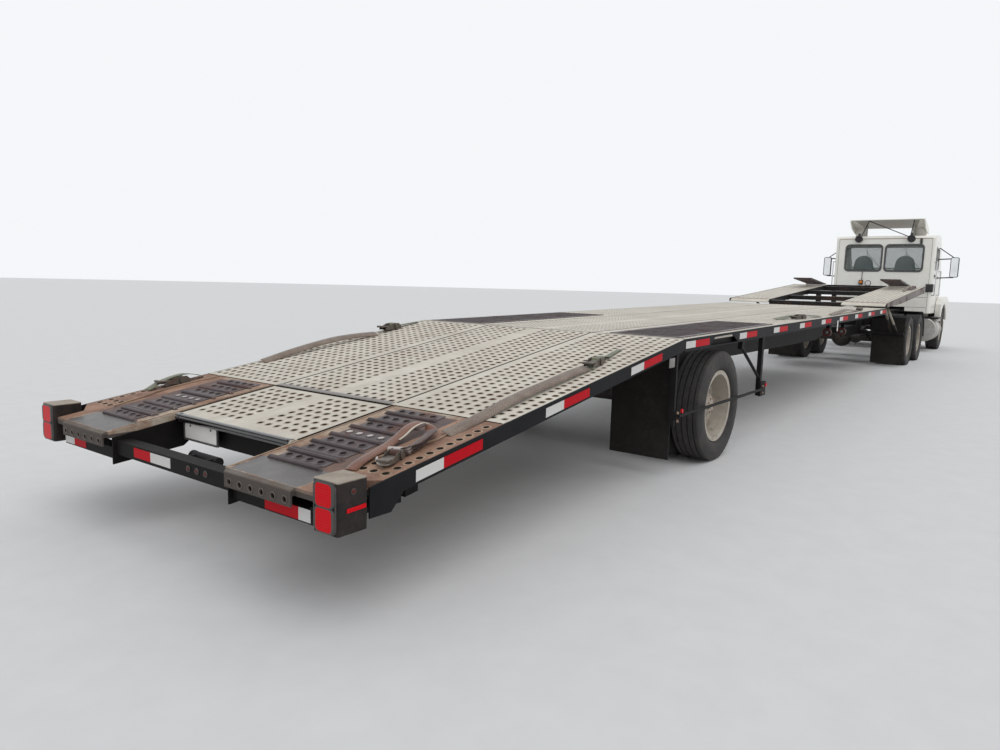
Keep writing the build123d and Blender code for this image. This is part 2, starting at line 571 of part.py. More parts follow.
# Front axle: dropped beam with kingpin eyes, and leaf springs hung from the frame
kingpin_y = steer_tyre["y"] - 140
steer_z = steer_tyre["radius"]
eye_radius = 42
kingpin_radius = 16
spring_y = 385
with BuildPart() as front_axle:
    half_beam = [(560, -100), (620, -60), (kingpin_y - 30, -45), (kingpin_y - 30, 45), (650, 30), (540, -10)]
    end_plate([(y, steer_z + z) for y, z in half_beam] + [(-y, steer_z + z) for y, z in reversed(half_beam)],
              steer_axle_x - 45, steer_axle_x + 45)
    for side in (-1, 1):
        rod((steer_axle_x, side * kingpin_y, steer_z - 62), (steer_axle_x, side * kingpin_y, steer_z + 62), eye_radius)
        rod((steer_axle_x, side * kingpin_y, steer_z - 70), (steer_axle_x, side * kingpin_y, steer_z + 70),
            kingpin_radius + seat_gap, mode=Mode.SUBTRACT)
        y0, y1 = side * spring_y - 35, side * spring_y + 35
        side_plate([(steer_axle_x - 640, 655), (steer_axle_x - 200, 575), (steer_axle_x + 200, 575),
                    (steer_axle_x + 560, 655), (steer_axle_x + 560, 690), (steer_axle_x + 200, 640),
                    (steer_axle_x - 200, 640), (steer_axle_x - 640, 690)], y0, y1)
        block(steer_axle_x - 60, steer_axle_x + 60, y0, y1, steer_z - 30, 580)
        for x in (steer_axle_x - 620, steer_axle_x + 490):
            block(x, x + 60, y0, y1, 660, frame_rail_bottom_z - seat_gap)
save(front_axle.part, "front_axle")

# Steering knuckles: a fork over the axle's eye, a kingpin and the wheel spindle
for side, side_name in ((1, "left"), (-1, "right")):
    with BuildPart() as knuckle:
        y = side * kingpin_y
        rod((steer_axle_x, y, steer_z - 110), (steer_axle_x, y, steer_z + 110), kingpin_radius)
        for z0, z1 in ((steer_z - 115, steer_z - 70), (steer_z + 70, steer_z + 115)):
            rod((steer_axle_x, y, z0), (steer_axle_x, y, z1), 45)
            block(steer_axle_x - 45, steer_axle_x + 45, y + side * 40 - 40, y + side * 40 + 40, z0, z1)
        block(steer_axle_x - 50, steer_axle_x + 50, y + side * 67 - 15, y + side * 67 + 15, steer_z - 115, steer_z + 115)
        rod((steer_axle_x, y + side * 75, steer_z), (steer_axle_x, y + side * 230, steer_z), spindle_radius)
    save(knuckle.part, f"knuckle_{side_name}")


def tyre(x, z, spec, middle_y):
    """A solid tyre ring that sits on its rim, with shoulders and a flat tread."""
    half = spec["width"] / 2
    seat = spec["rim"] - 22
    bead = half - 44
    turned(
        [(middle_y - bead, seat), (middle_y - bead, spec["rim"]), (middle_y - half + 3, spec["rim"] + 20),
         (middle_y - half, spec["radius"] - 75), (middle_y - half + 28, spec["radius"] - 8),
         (middle_y - half + 50, spec["radius"]), (middle_y + half - 50, spec["radius"]),
         (middle_y + half - 28, spec["radius"] - 8), (middle_y + half, spec["radius"] - 75),
         (middle_y + half - 3, spec["rim"] + 20), (middle_y + bead, spec["rim"]), (middle_y + bead, seat)],
        x, z,
    )


def rim_barrel(x, z, spec, middle_y, disc_y):
    """A rim: barrel with two flanges, and a dished disc that leans in to its bolting face at disc_y."""
    half = spec["width"] / 2 - 29
    outer = spec["rim"] - 23
    inner = outer - rim_wall
    toward = 1 if disc_y > middle_y else -1
    lean_y = middle_y + toward * (half - 40)
    turned([(middle_y - half, inner), (middle_y + half, inner), (middle_y + half, spec["rim"] - 4),
            (middle_y + half - 9, spec["rim"] - 4), (middle_y + half - 14, outer), (middle_y - half + 14, outer),
            (middle_y - half + 9, spec["rim"] - 4), (middle_y - half, spec["rim"] - 4)], x, z)
    turned([(disc_y, 100), (disc_y, 175), (lean_y, inner + 4), (lean_y - toward * 16, inner + 4),
            (disc_y - toward * 14, 170), (disc_y - toward * 14, 100)], x, z)


def dual_wheel(name, x, spec, side):
    """Twin wheels on one hub: two tyres in one node, two rims and the hub in the other."""
    z = spec["radius"]
    with BuildPart() as tyres:
        for middle_y in (side * spec["inner_y"], side * spec["outer_y"]):
            tyre(x, z, spec, middle_y)
    save(tyres.part, f"{name}_tyres")
    face_y = side * (spec["inner_y"] + spec["outer_y"]) / 2
    with BuildPart() as rims:
        rim_barrel(x, z, spec, side * spec["outer_y"], face_y)
        rim_barrel(x, z, spec, side * spec["inner_y"], face_y)
        cap_y = side * (spec["outer_y"] + 40)
        turned([(side * (spec["inner_y"] - 60), hub_bore), (side * (spec["inner_y"] - 60), hub_radius),
                (cap_y - side * 60, hub_radius), (cap_y, 70), (cap_y, 0), (cap_y - side * 30, 0), (cap_y - side * 30, hub_bore)],
               x, z)
    save(rims.part, f"{name}_rims")


for side, side_name in ((1, "left"), (-1, "right")):
    dual_wheel(f"trailer_wheel_{side_name}", trailer_axle_x, trailer_tyre, side)
    dual_wheel(f"drive_wheel_rear_{side_name}", rear_drive_x, drive_tyre, side)
    dual_wheel(f"drive_wheel_front_{side_name}", front_drive_x, drive_tyre, side)
    with BuildPart() as steer_rubber:
        tyre(steer_axle_x, steer_z, steer_tyre, side * steer_tyre["y"])
    save(steer_rubber.part, f"steer_wheel_{side_name}_tyre")
    with BuildPart() as steer_rim:
        disc_y = side * (steer_tyre["y"] + 95)
        rim_barrel(steer_axle_x, steer_z, steer_tyre, side * steer_tyre["y"], disc_y)
        hub_y = steer_tyre["y"]
        turned([(side * (hub_y + d), r) for d, r in ((-40, hub_bore), (-40, hub_radius), (115, hub_radius), (145, 75),
                                                     (145, 0), (105, 0), (105, hub_bore))], steer_axle_x, steer_z)
    save(steer_rim.part, f"steer_wheel_{side_name}_rim")

# Mud flaps behind the trailer's wheels and behind the tractor's drive wheels
with BuildPart() as mud_flaps:
    trailer_flap_x = rear_x + 3225
    block(trailer_flap_x, trailer_flap_x + 10, deck_half_width - 555, deck_half_width - 70, 150,
          trailer_deck_z(trailer_flap_x) - cross_top - cross_depth - seat_gap)
    mirror(about=Plane.XZ)
save(mud_flaps.part, "trailer_mud_flaps")

with BuildPart() as drive_flaps:
    block(flap_x + 30 + seat_gap, flap_x + 42, tractor_half_width - 600, tractor_half_width - 50, 65, 940)
    mirror(about=Plane.XZ)
save(drive_flaps.part, "drive_mud_flaps")

# Quarter fenders ahead of and above the front drive wheels
fender_radius = drive_tyre["radius"] + 65
with BuildPart() as quarter_fenders:
    fender_y = tractor_half_width - 40
    with BuildSketch(Plane.XZ.offset(-fender_y)):
        with Locations((front_drive_x, drive_z)):
            Circle(fender_radius)
            Circle(fender_radius - 8, mode=Mode.SUBTRACT)
        with Locations((front_drive_x - 400, drive_z - 150)):
            Rectangle(800, 1600, mode=Mode.SUBTRACT)
        with Locations((front_drive_x + 300, drive_z - 400)):
            Rectangle(800, 800, mode=Mode.SUBTRACT)
    extrude(amount=585)
    block(front_drive_x + 90, front_drive_x + 130, frame_rail_outer_y + seat_gap, 700, drive_z + fender_radius - 58,
          drive_z + fender_radius - 18)
    mirror(about=Plane.XZ)
save(quarter_fenders.part, "quarter_fenders")

# Fuel tanks under the doors: drums with pressed ends, on brackets from the frame, each with a step on top
tank_x0 = cab_back_x - 20
tank_x1 = cab_back_x + 800
tank_radius = 285
tank_y = cab_half_width - 110
tank_z = 545
tank_end = 28
with BuildPart() as fuel_tanks:
    with BuildSketch(Plane.YZ.offset(tank_x0)) as tank_end_profile:
        with Locations((tank_y, tank_z)):
            Circle(tank_radius)
    extrude(tank_end_profile.sketch, amount=tank_x1 - tank_x0)
    fillet(fuel_tanks.edges().filter_by(GeomType.CIRCLE), tank_end)
    for x in (tank_x0 + 120, tank_x1 - 180):
        # saddle bracket from the frame, and a strap around the drum
        side_plate([(x, 560), (x + 60, 560), (x + 60, 830), (x, 830)], frame_rail_outer_y + seat_gap, tank_y - 150)
        with BuildSketch(Plane.YZ.offset(x)) as strap_profile:
            with Locations((tank_y, tank_z)):
                Circle(tank_radius + 7)
        extrude(strap_profile.sketch, amount=60)
    # step plate on the drum
    block(tank_x0 + 40, tank_x1 - 60, tank_y - 60, tractor_half_width, tank_z + tank_radius - 30,
          tank_z + tank_radius + 12)
    mirror(about=Plane.XZ)
save(fuel_tanks.part, "fuel_tanks")

# Cab shell: hollow, with door openings, windscreen and two rear windows
windscreen_base = (firewall_x - 20, 1940)
windscreen_top = (firewall_x - 450, 2640)
cab_outline = [
    (cab_back_x, cab_bottom_z), (firewall_x, cab_bottom_z), (firewall_x, 1930), windscreen_base, windscreen_top,
    (firewall_x - 550, 2740), (firewall_x - 880, cab_roof_z), (cab_back_x + 60, 2760), (cab_back_x, 2700),
]
cab_inside = [
    (cab_back_x + cab_wall, cab_bottom_z + cab_wall), (firewall_x - cab_wall, cab_bottom_z + cab_wall),
    (firewall_x - cab_wall, 1905), (windscreen_base[0] - cab_wall, 1930), (windscreen_top[0] - cab_wall - 8, 2610),
    (firewall_x - 590, 2680), (firewall_x - 890, cab_roof_z - cab_wall), (cab_back_x + 90, 2700),
    (cab_back_x + cab_wall, 2660),
]
fender_rear_x = steer_axle_x - 685
door_hinge_z = (1260, 2120)
door_hinge_radius = 13
door_pin_radius = 6
door_gap = 5
door_hinge_x = door_front_x - door_gap
door_outline = [
    (door_rear_x, cab_bottom_z + 20), (door_front_x, cab_bottom_z + 20), (door_front_x, 2560), (door_rear_x, 2600),
]
rear_window_size = (805, 620)
rear_window_z = 2232
rear_window_y = 445
ws_slope = Vector(windscreen_top[0] - windscreen_base[0], 0, windscreen_top[1] - windscreen_base[1])
ws_mid = ((windscreen_base[0] + windscreen_top[0]) / 2, 0, (windscreen_base[1] + windscreen_top[1]) / 2)
ws_plane = Plane(origin=ws_mid, x_dir=(0, 1, 0), z_dir=ws_slope.cross(Vector(0, 1, 0)))
ws_size = (2 * cab_half_width - 240, 640)
cab_corner = 75
glass_thickness = 8
with BuildPart() as cab_shell:
    side_plate(cab_outline, -cab_half_width, cab_half_width)
    # panels that hang below the floor, outside the frame
    skirt_front_x = fender_rear_x - 12
    floor_gap_y = frame_rail_outer_y + 130
    block(cab_back_x, skirt_front_x, -cab_half_width, cab_half_width, cab_skirt_z, cab_bottom_z + 10)
    fillet(cab_shell.edges().filter_by(Axis.Z).group_by(Axis.X)[0], cab_corner)
    block(cab_back_x + 40, skirt_front_x + 10, -cab_half_width + 40, cab_half_width - 40, cab_skirt_z - 1,
          cab_bottom_z, mode=Mode.SUBTRACT)
    block(cab_back_x - 1, cab_back_x + 50, -floor_gap_y, floor_gap_y, cab_skirt_z - 1, cab_bottom_z,
          mode=Mode.SUBTRACT)
    side_plate(cab_inside, -cab_half_width + cab_wall, cab_half_width - cab_wall, mode=Mode.SUBTRACT)
    both_plates(door_outline, cab_half_width - cab_wall - 2, cab_half_width + 2, mode=Mode.SUBTRACT)
    with BuildSketch(Plane.YZ.offset(cab_back_x - 5)):
        with Locations((-rear_window_y, rear_window_z), (rear_window_y, rear_window_z)):
            RectangleRounded(*rear_window_size, 90)
    extrude(amount=cab_wall + 10, mode=Mode.SUBTRACT)
    with BuildSketch(ws_plane):
        RectangleRounded(*ws_size, 80)
    extrude(amount=150, both=True, mode=Mode.SUBTRACT)
    # door hinges: the door's barrel turns on a pin between two of the cab's
    for side in (-1, 1):
        y = side * cab_half_width
        for z in door_hinge_z:
            rod((door_hinge_x, y, z - 36), (door_hinge_x, y, z + 36), door_hinge_radius + 4, mode=Mode.SUBTRACT)
            rod((door_hinge_x, y, z + 36), (door_hinge_x, y, z + 70), door_hinge_radius)
            rod((door_hinge_x, y, z - 70), (door_hinge_x, y, z - 36), door_hinge_radius)
            rod((door_hinge_x, y, z - 60), (door_hinge_x, y, z + 60), door_pin_radius)
save(cab_shell.part, "cab_shell")

with BuildPart() as cab_glass:
    with BuildSketch(Plane.YZ.offset(cab_back_x + 25)):
        with Locations((-rear_window_y, rear_window_z), (rear_window_y, rear_window_z)):
            RectangleRounded(rear_window_size[0] - 2 * seat_gap, rear_window_size[1] - 2 * seat_gap, 90)
    extrude(amount=glass_thickness)
    ws_glass_plane = Plane(origin=Vector(*ws_mid) + ws_plane.z_dir * 20, x_dir=(0, 1, 0), z_dir=ws_plane.z_dir)
    with BuildSketch(ws_glass_plane):
        RectangleRounded(ws_size[0] - 2 * seat_gap, ws_size[1] - 2 * seat_gap, 80)
    extrude(amount=glass_thickness)
save(cab_glass.part, "cab_glass")

# Doors, each with its window, glass and mirror
window_outline = [
    (door_rear_x + 100, 1960), (door_front_x - 90, 1960), (door_front_x - 90, 2460), (door_rear_x + 100, 2500),
]
for side, side_name in ((1, "left"), (-1, "right")):
    y0 = min(side * (cab_half_width - cab_wall), side * cab_half_width)
    y1 = y0 + cab_wall
    with BuildPart() as door:
        side_plate([(door_rear_x + door_gap, cab_bottom_z + 20 + door_gap),
                    (door_front_x - door_gap, cab_bottom_z + 20 + door_gap),
                    (door_front_x - door_gap, 2560 - door_gap), (door_rear_x + door_gap, 2600 - door_gap)], y0, y1)
        side_plate(window_outline, y0 - 2, y1 + 2, mode=Mode.SUBTRACT)
        y = side * cab_half_width
        for z in door_hinge_z:
            for end in (z - 53, z + 53):
                rod((door_hinge_x, y, end - 19), (door_hinge_x, y, end + 19), door_hinge_radius + 4,
                    mode=Mode.SUBTRACT)
            rod((door_hinge_x, y, z - 34), (door_hinge_x, y, z + 34), door_hinge_radius)
            rod((door_hinge_x, y, z - 34), (door_hinge_x, y, z + 34), door_pin_radius + seat_gap,
                mode=Mode.SUBTRACT)
    save(door.part, f"door_{side_name}")
    with BuildPart() as door_glass:
        glass_x0, glass_x1 = door_rear_x + 100 + seat_gap, door_front_x - 90 - seat_gap
        side_plate([(glass_x0, 1960 + seat_gap), (glass_x1, 1960 + seat_gap), (glass_x1, 2460 - seat_gap),
                    (glass_x0, 2500 - seat_gap)],
                   y0 + cab_wall / 2 - 3, y0 + cab_wall / 2 + 3)
    save(door_glass.part, f"door_glass_{side_name}")
    with BuildPart() as mirror_arm:
        face_y = side * (cab_half_width + seat_gap)
        mirror_y = side * (cab_half_width + 340)
        for z in (1780, 2230):
            rod((door_front_x - 130, face_y + side * 6, z), (door_front_x - 100, mirror_y, z + 20), 14)
            block(door_front_x - 160, door_front_x - 100, face_y + side * 5 - 5, face_y + side * 5 + 5, z - 30, z + 30)
        with BuildSketch(Plane.YZ.offset(door_front_x - 125)) as mirror_back:
            with Locations((mirror_y, 2040)):
                RectangleRounded(180, 480, 40)
        extrude(mirror_back.sketch, amount=70)
    save(mirror_arm.part, f"mirror_{side_name}")

# Seats, dashboard and steering wheel
with BuildPart() as seats:
    for side in (-1, 1):
        y = side * 460
        side_plate([(cab_back_x + 250, 1400), (cab_back_x + 730, 1420), (cab_back_x + 730, 1530),
                    (cab_back_x + 300, 1510), (cab_back_x + 160, 2120), (cab_back_x + 70, 2120),
                    (cab_back_x + 110, 1420)], y - 250, y + 250)
        side_plate([(cab_back_x + 90, 2120), (cab_back_x + 170, 2120), (cab_back_x + 160, 2300),
                    (cab_back_x + 90, 2300)], y - 130, y + 130)
        block(cab_back_x + 260, cab_back_x + 620, y - 180, y + 180, cab_bottom_z + cab_wall, 1402)
save(seats.part, "seats")

dash_x = firewall_x - 380
wheel_centre = (dash_x - 250, 460, 1820)
with BuildPart() as dashboard:
    side_plate([(dash_x, 1500), (dash_x + 60, 1420), (firewall_x - cab_wall - seat_gap, 1420),
                (firewall_x - cab_wall - seat_gap, 1880), (dash_x + 120, 1900), (dash_x, 1830)],
               -cab_half_width + 70, cab_half_width - 70)
    rod(wheel_centre, (dash_x + 60, 460, 1700), 28)
    with BuildSketch(Plane(origin=wheel_centre, z_dir=(-310, 0, 120))):
        Circle(225)
        Circle(198, mode=Mode.SUBTRACT)
        Rectangle(400, 40)
    extrude(amount=28)
save(dashboard.part, "dashboard")

# Roof deflector: a bent top plate with side fins, open below its front edge, on two pairs of stands
fin_y = cab_half_width - 300
top_plate = [(30, 3165), (330, 3090), (660, 3010)]
stand_x = (cab_back_x + 400, cab_back_x + 600)
with BuildPart() as deflector:
    outer = [(cab_back_x + d, z) for d, z in top_plate]
    side_plate(outer + [(x - 6, z - 22) for x, z in reversed(outer)], -fin_y, fin_y)
    both_plates([(cab_back_x + 30, 3165), (cab_back_x + 330, 3090), (cab_back_x + 660, 3010),
                 (cab_back_x + 860, 2900), (cab_back_x + 870, 2850), (cab_back_x + 640, 2860),
                 (cab_back_x + 250, 2960), (cab_back_x + 20, 3120)], fin_y - 3, fin_y + 22)
    for side in (-1, 1):
        y = side * (fin_y - 260)
        for x in stand_x:
            block(x, x + 50, y - 22, y + 22, 2770, 3040 if x > cab_back_x + 500 else 3085)
    side_plate(cab_outline, -cab_half_width, cab_half_width, mode=Mode.SUBTRACT)
save(deflector.part, "roof_deflector")

# Round work lamps at the back of the roof
lamp_radius = 85
with BuildPart() as work_lamps:
    for side in (-1, 1):
        y = side * 575
        rod((cab_back_x - 75, y, 2690), (cab_back_x - 12, y, 2690), lamp_radius)
        block(cab_back_x - 40, cab_back_x + 40, y - 25, y + 25, 2740, 2830)
    side_plate(cab_outline, -cab_half_width, cab_half_width, mode=Mode.SUBTRACT)
save(work_lamps.part, "work_lamps")

# Engine block, with the gearbox reaching back under the cab floor, and the radiator
engine_x = steer_axle_x - 20
engine_front_x = engine_x + 620
gearbox_rear_x = engine_x - 800
with BuildPart() as engine:
    side_plate([(gearbox_rear_x, 760), (engine_x - 100, 720), (engine_x, 640), (engine_front_x, 640),
                (engine_front_x, 1430), (engine_x, 1430), (engine_x, 1030), (gearbox_rear_x, 960)],
               -rail_inner_y + 15, rail_inner_y - 15)
    for x in (gearbox_rear_x + 220, engine_front_x - 200):
        block(x, x + 60, -web_y, web_y, 800, 860)
save(engine.part, "engine")

with BuildPart() as radiator:
    block(rails_front_x + 40, rails_front_x + 110, -400, 400, 800, 1400)
    for side in (-1, 1):
        block(rails_front_x + seat_gap, rails_front_x + 45, side * 400 - 30, side * 400 + 30, 810, 990)
save(radiator.part, "radiator")

# Hood with its fenders: a one-piece shell that tilts forward about its lower front edge
hood_rear_x = firewall_x + 12
hood_front_x = bumper_front_x - 80
fender_outer_y = steer_tyre["y"] + 170
fender_inner_y = 640
arch_radius = 620
arch_z = 520
hood_wall = 30
hood_sections = [
    # x, half width, bottom z, top z
    (hood_rear_x, 800, 900, 1890),
    (hood_front_x, 500, 780, 1490),
]
fender_outline = [
    (fender_rear_x, 730), (fender_rear_x, 1140), (fender_rear_x + 160, 1270), (steer_axle_x - 250, 1330),
    (steer_axle_x + 450, 1330), (hood_front_x - 120, 1230), (hood_front_x, 1060), (hood_front_x, 730),
]


def hood_block(wall, mode=Mode.ADD):
    """Tapering middle of the hood; with a wall, the hollow inside it, open behind and below."""
    sections = []
    for x, half, bottom, top in hood_sections:
        reach = x if wall == 0 else (x - 60 if x == hood_rear_x else x - wall)
        low = bottom if wall == 0 else bottom - 60
        with BuildSketch(Plane.YZ.offset(reach)) as section:
            with Locations((0, (low + top - wall) / 2)):
                RectangleRounded(2 * (half - wall), top - wall - low, 90)
        sections.append(section.sketch.face())
    loft(sections, mode=mode)


with BuildPart() as hood:
    hood_block(0)
    side_plate(fender_outline, fender_inner_y, fender_outer_y)
    side_plate(fender_outline, -fender_outer_y, -fender_inner_y)
    hood_block(hood_wall, mode=Mode.SUBTRACT)
    inner_fender = [(x + (hood_wall if x < steer_axle_x else -hood_wall), z - (hood_wall if z > 1000 else 60))
                    for x, z in fender_outline]
    both_plates(inner_fender, fender_inner_y - 200, fender_outer_y - hood_wall, mode=Mode.SUBTRACT)
    rod((steer_axle_x, -fender_outer_y - 5, arch_z), (steer_axle_x, fender_outer_y + 5, arch_z), arch_radius,
        mode=Mode.SUBTRACT)
    # room for the cab between the rear ends of the fenders
    block(fender_rear_x - 10, hood_rear_x, -cab_half_width - 10, cab_half_width + 10, 600, 2000,
          mode=Mode.SUBTRACT)
    # hinge lugs at the lower front edge
    for side in (-1, 1):
        y = side * hood_lug_y
        block(hood_pivot_x - 21, hood_pivot_x + 21, y - 18, y + 18, hood_pivot_z, 800)
        block(hood_front_x - 20, hood_pivot_x + 21, y - 18, y + 18, 782, 815)
        rod((hood_pivot_x, y - 18, hood_pivot_z), (hood_pivot_x, y + 18, hood_pivot_z), 21)
        rod((hood_pivot_x, y - 20, hood_pivot_z), (hood_pivot_x, y + 20, hood_pivot_z), hood_pin_radius + seat_gap,
            mode=Mode.SUBTRACT)
    # grille opening
    block(hood_front_x - 200, hood_front_x + 10, -400, 400, 840, 1400, mode=Mode.SUBTRACT)
save(hood.part, "hood")

grille_bars = 12
with BuildPart() as grille:
    block(hood_front_x - 50, hood_front_x - 5, -400 + seat_gap, 400 - seat_gap, 840 + seat_gap, 1400 - seat_gap)
    block(hood_front_x - 60, hood_front_x, -365, 365, 875, 1365, mode=Mode.SUBTRACT)
    for step in range(grille_bars):
        z = 905 + step * 39
        block(hood_front_x - 45, hood_front_x - 10, -366, 366, z, z + 18)
save(grille.part, "grille")

with BuildPart() as headlamps:
    for side in (-1, 1):
        lamp_y = side * (fender_outer_y - 400)
        block(hood_front_x, hood_front_x + 18, lamp_y - 150, lamp_y + 150, 800, 960)
save(headlamps.part, "headlamps")

# Front bumper: a folded channel on brackets from the frame
with BuildPart() as front_bumper:
    plan_plate(
        [(bumper_front_x - 330, -1180), (bumper_front_x - 60, -1050), (bumper_front_x, -700), (bumper_front_x, 700),
         (bumper_front_x - 60, 1050), (bumper_front_x - 330, 1180), (bumper_front_x - 345, 1150),
         (bumper_front_x - 95, 1020), (bumper_front_x - 40, 690), (bumper_front_x - 40, -690),
         (bumper_front_x - 95, -1020),
         (bumper_front_x - 345, -1150)], 400, 680,
    )
    for side in (-1, 1):
        y0, y1 = side * 385 - 45, side * 385 + 45
        side_plate([(rails_front_x - 120, 735 - seat_gap), (rails_front_x - 120, 620), (rails_front_x, 500),
                    (bumper_front_x - 30, 430), (bumper_front_x - 30, 640), (rails_front_x + 60, 660),
                    (rails_front_x, 735 - seat_gap)], y0, y1)
        # ear and pin that carry the hood's hinge lug
        ear_y = side * (hood_lug_y - 38)
        block(hood_pivot_x - 24, hood_pivot_x + 24, ear_y - 14, ear_y + 14, 600, hood_pivot_z + 20)
        rod((hood_pivot_x, ear_y, hood_pivot_z), (hood_pivot_x, side * (hood_lug_y + 26), hood_pivot_z), hood_pin_radius)
save(front_bumper.part, "front_bumper")
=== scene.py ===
import math

import bmesh
import bpy
from mathutils import Matrix, Vector


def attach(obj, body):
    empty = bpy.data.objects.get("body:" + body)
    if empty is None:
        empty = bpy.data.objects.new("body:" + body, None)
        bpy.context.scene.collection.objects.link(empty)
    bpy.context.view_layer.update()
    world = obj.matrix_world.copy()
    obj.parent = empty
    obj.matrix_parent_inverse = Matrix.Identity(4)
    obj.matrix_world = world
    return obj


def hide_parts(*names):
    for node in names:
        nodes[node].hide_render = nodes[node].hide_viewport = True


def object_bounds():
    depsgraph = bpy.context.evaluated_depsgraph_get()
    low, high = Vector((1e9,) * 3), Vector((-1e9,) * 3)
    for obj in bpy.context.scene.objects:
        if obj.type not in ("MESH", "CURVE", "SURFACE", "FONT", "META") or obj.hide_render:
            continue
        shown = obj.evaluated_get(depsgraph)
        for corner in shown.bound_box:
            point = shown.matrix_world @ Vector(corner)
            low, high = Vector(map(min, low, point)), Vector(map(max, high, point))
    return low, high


# The looks of the car transporter: finishes, deck perforations, tape, lamps, wheels, straps and cab trim.
# Metres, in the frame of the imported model: +X forward, +Y left, +Z up.

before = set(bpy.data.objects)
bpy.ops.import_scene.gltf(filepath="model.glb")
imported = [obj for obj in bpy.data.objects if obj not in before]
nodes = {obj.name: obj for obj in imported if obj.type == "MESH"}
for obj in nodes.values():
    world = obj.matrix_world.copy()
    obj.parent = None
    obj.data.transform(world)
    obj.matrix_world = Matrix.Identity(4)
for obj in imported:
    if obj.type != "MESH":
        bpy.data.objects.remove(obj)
cad_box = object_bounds()
rear = cad_box[0].x

# Deck line of the trailer: distances are measured forward from the rear end
deck_break = 3.27
deck_break_z = 1.052
deck_rear_slope = 0.143
deck_front_slope = 0.0133
rail_y = 1.295

# Deck line of the tractor
tractor_deck_rear = 11.42
tractor_deck_rear_z = 1.235
tractor_deck_slope = 0.073

# Axles
trailer_axle = 4.10
rear_drive = 14.55
front_drive = 15.87
steer_axle = 19.90


def deck_z(d):
    slope = deck_rear_slope if d < deck_break else deck_front_slope
    return deck_break_z + slope * (d - deck_break)


def tractor_deck_z(d):
    return tractor_deck_rear_z + tractor_deck_slope * (d - tractor_deck_rear)


def at(d, y, z):
    """The point at distance d forward from the rear end."""
    return Vector((rear + d, y, z))


# Shader groups

def link(tree, value, socket):
    """Gives a socket a number, or the output of another node."""
    if isinstance(value, (int, float)):
        socket.default_value = value
    else:
        tree.links.new(value, socket)


def new_group(name, inputs, outputs):
    """Starts a shader group: inputs gives its numbers and their values, outputs the names of its results."""
    group = bpy.data.node_groups.new(name, "ShaderNodeTree")
    for label, value in inputs.items():
        socket = group.interface.new_socket(label, in_out="INPUT", socket_type="NodeSocketFloat")
        socket.default_value = value
    for label in outputs:
        group.interface.new_socket(label, in_out="OUTPUT", socket_type="NodeSocketFloat")
    start = group.nodes.new("NodeGroupInput")
    end = group.nodes.new("NodeGroupOutput")
    return group, start.outputs, end.inputs


def object_place(tree):
    return tree.nodes.new("ShaderNodeTexCoord").outputs["Object"]


def ramp(tree, value, low, high, start=0.0, end=1.0):
    """Turns low to high into start to end, and stays within them."""
    node = tree.nodes.new("ShaderNodeMapRange")
    for label, limit in (("From Min", low), ("From Max", high), ("To Min", start), ("To Max", end)):
        link(tree, limit, node.inputs[label])
    tree.links.new(value, node.inputs["Value"])
    return node.outputs["Result"]


def calc(tree, operation, first, second):
    node = tree.nodes.new("ShaderNodeMath")
    node.operation = operation
    link(tree, first, node.inputs[0])
    link(tree, second, node.inputs[1])
    return node.outputs[0]


def weighed(tree, first, share, second, other_share):
    """The sum of two values, each times its share."""
    return calc(tree, "ADD", calc(tree, "MULTIPLY", first, share),
                calc(tree, "MULTIPLY", second, other_share))


def noise(tree, place, scale, detail, rough):
    node = tree.nodes.new("ShaderNodeTexNoise")
    tree.links.new(place, node.inputs["Vector"])
    link(tree, scale, node.inputs["Scale"])
    node.inputs["Detail"].default_value = detail
    node.inputs["Roughness"].default_value = rough
    return node.outputs["Fac"]


def blotch_group():
    """Uneven patches, as rust, worn paint and stains make: broad areas broken up by small ones."""
    group, given, result = new_group("blotches", {"Scale": 2.0, "Cover": 0.5, "Softness": 0.1}, ["Mask"])
    place = object_place(group)
    broad = noise(group, place, given["Scale"], 6.0, 0.62)
    fine = noise(group, place, calc(group, "MULTIPLY", given["Scale"], 9.0), 5.0, 0.7)
    limit = calc(group, "SUBTRACT", 0.78, calc(group, "MULTIPLY", given["Cover"], 0.56))
    low = calc(group, "SUBTRACT", limit, given["Softness"])
    high = calc(group, "ADD", limit, given["Softness"])
    group.links.new(ramp(group, weighed(group, broad, 0.72, fine, 0.28), low, high), result["Mask"])
    return group


def road_dirt_group():
    """Dried road spray: heavy near the ground and thinning upwards, in speckles and clouds."""
    group, given, result = new_group("road_dirt", {"Height": 1.2, "Amount": 0.6}, ["Mask"])
    place = object_place(group)
    split = group.nodes.new("ShaderNodeSeparateXYZ")
    group.links.new(place, split.inputs["Vector"])
    low = calc(group, "SUBTRACT", 1.0, calc(group, "DIVIDE", split.outputs["Z"], given["Height"]))
    speckle = ramp(group, noise(group, place, 14.0, 6.0, 0.7), 0.35, 0.70)
    cloud = ramp(group, noise(group, place, 1.7, 3.0, 0.5), 0.25, 0.75)
    depth = calc(group, "ADD", calc(group, "MAXIMUM", low, 0.0), 0.25)
    shade = calc(group, "MULTIPLY", weighed(group, speckle, 0.6, cloud, 0.5), depth)
    group.links.new(calc(group, "MULTIPLY", shade, given["Amount"]), result["Mask"])
    return group


def grain_group():
    """Fine height and tone variation of a worn surface."""
    group, given, result = new_group("grain", {"Scale": 60.0}, ["Height", "Tone"])
    place = object_place(group)
    group.links.new(noise(group, place, given["Scale"], 3.0, 0.65), result["Height"])
    group.links.new(ramp(group, noise(group, place, 4.5, 5.0, 0.6), 0.3, 0.7), result["Tone"])
    return group


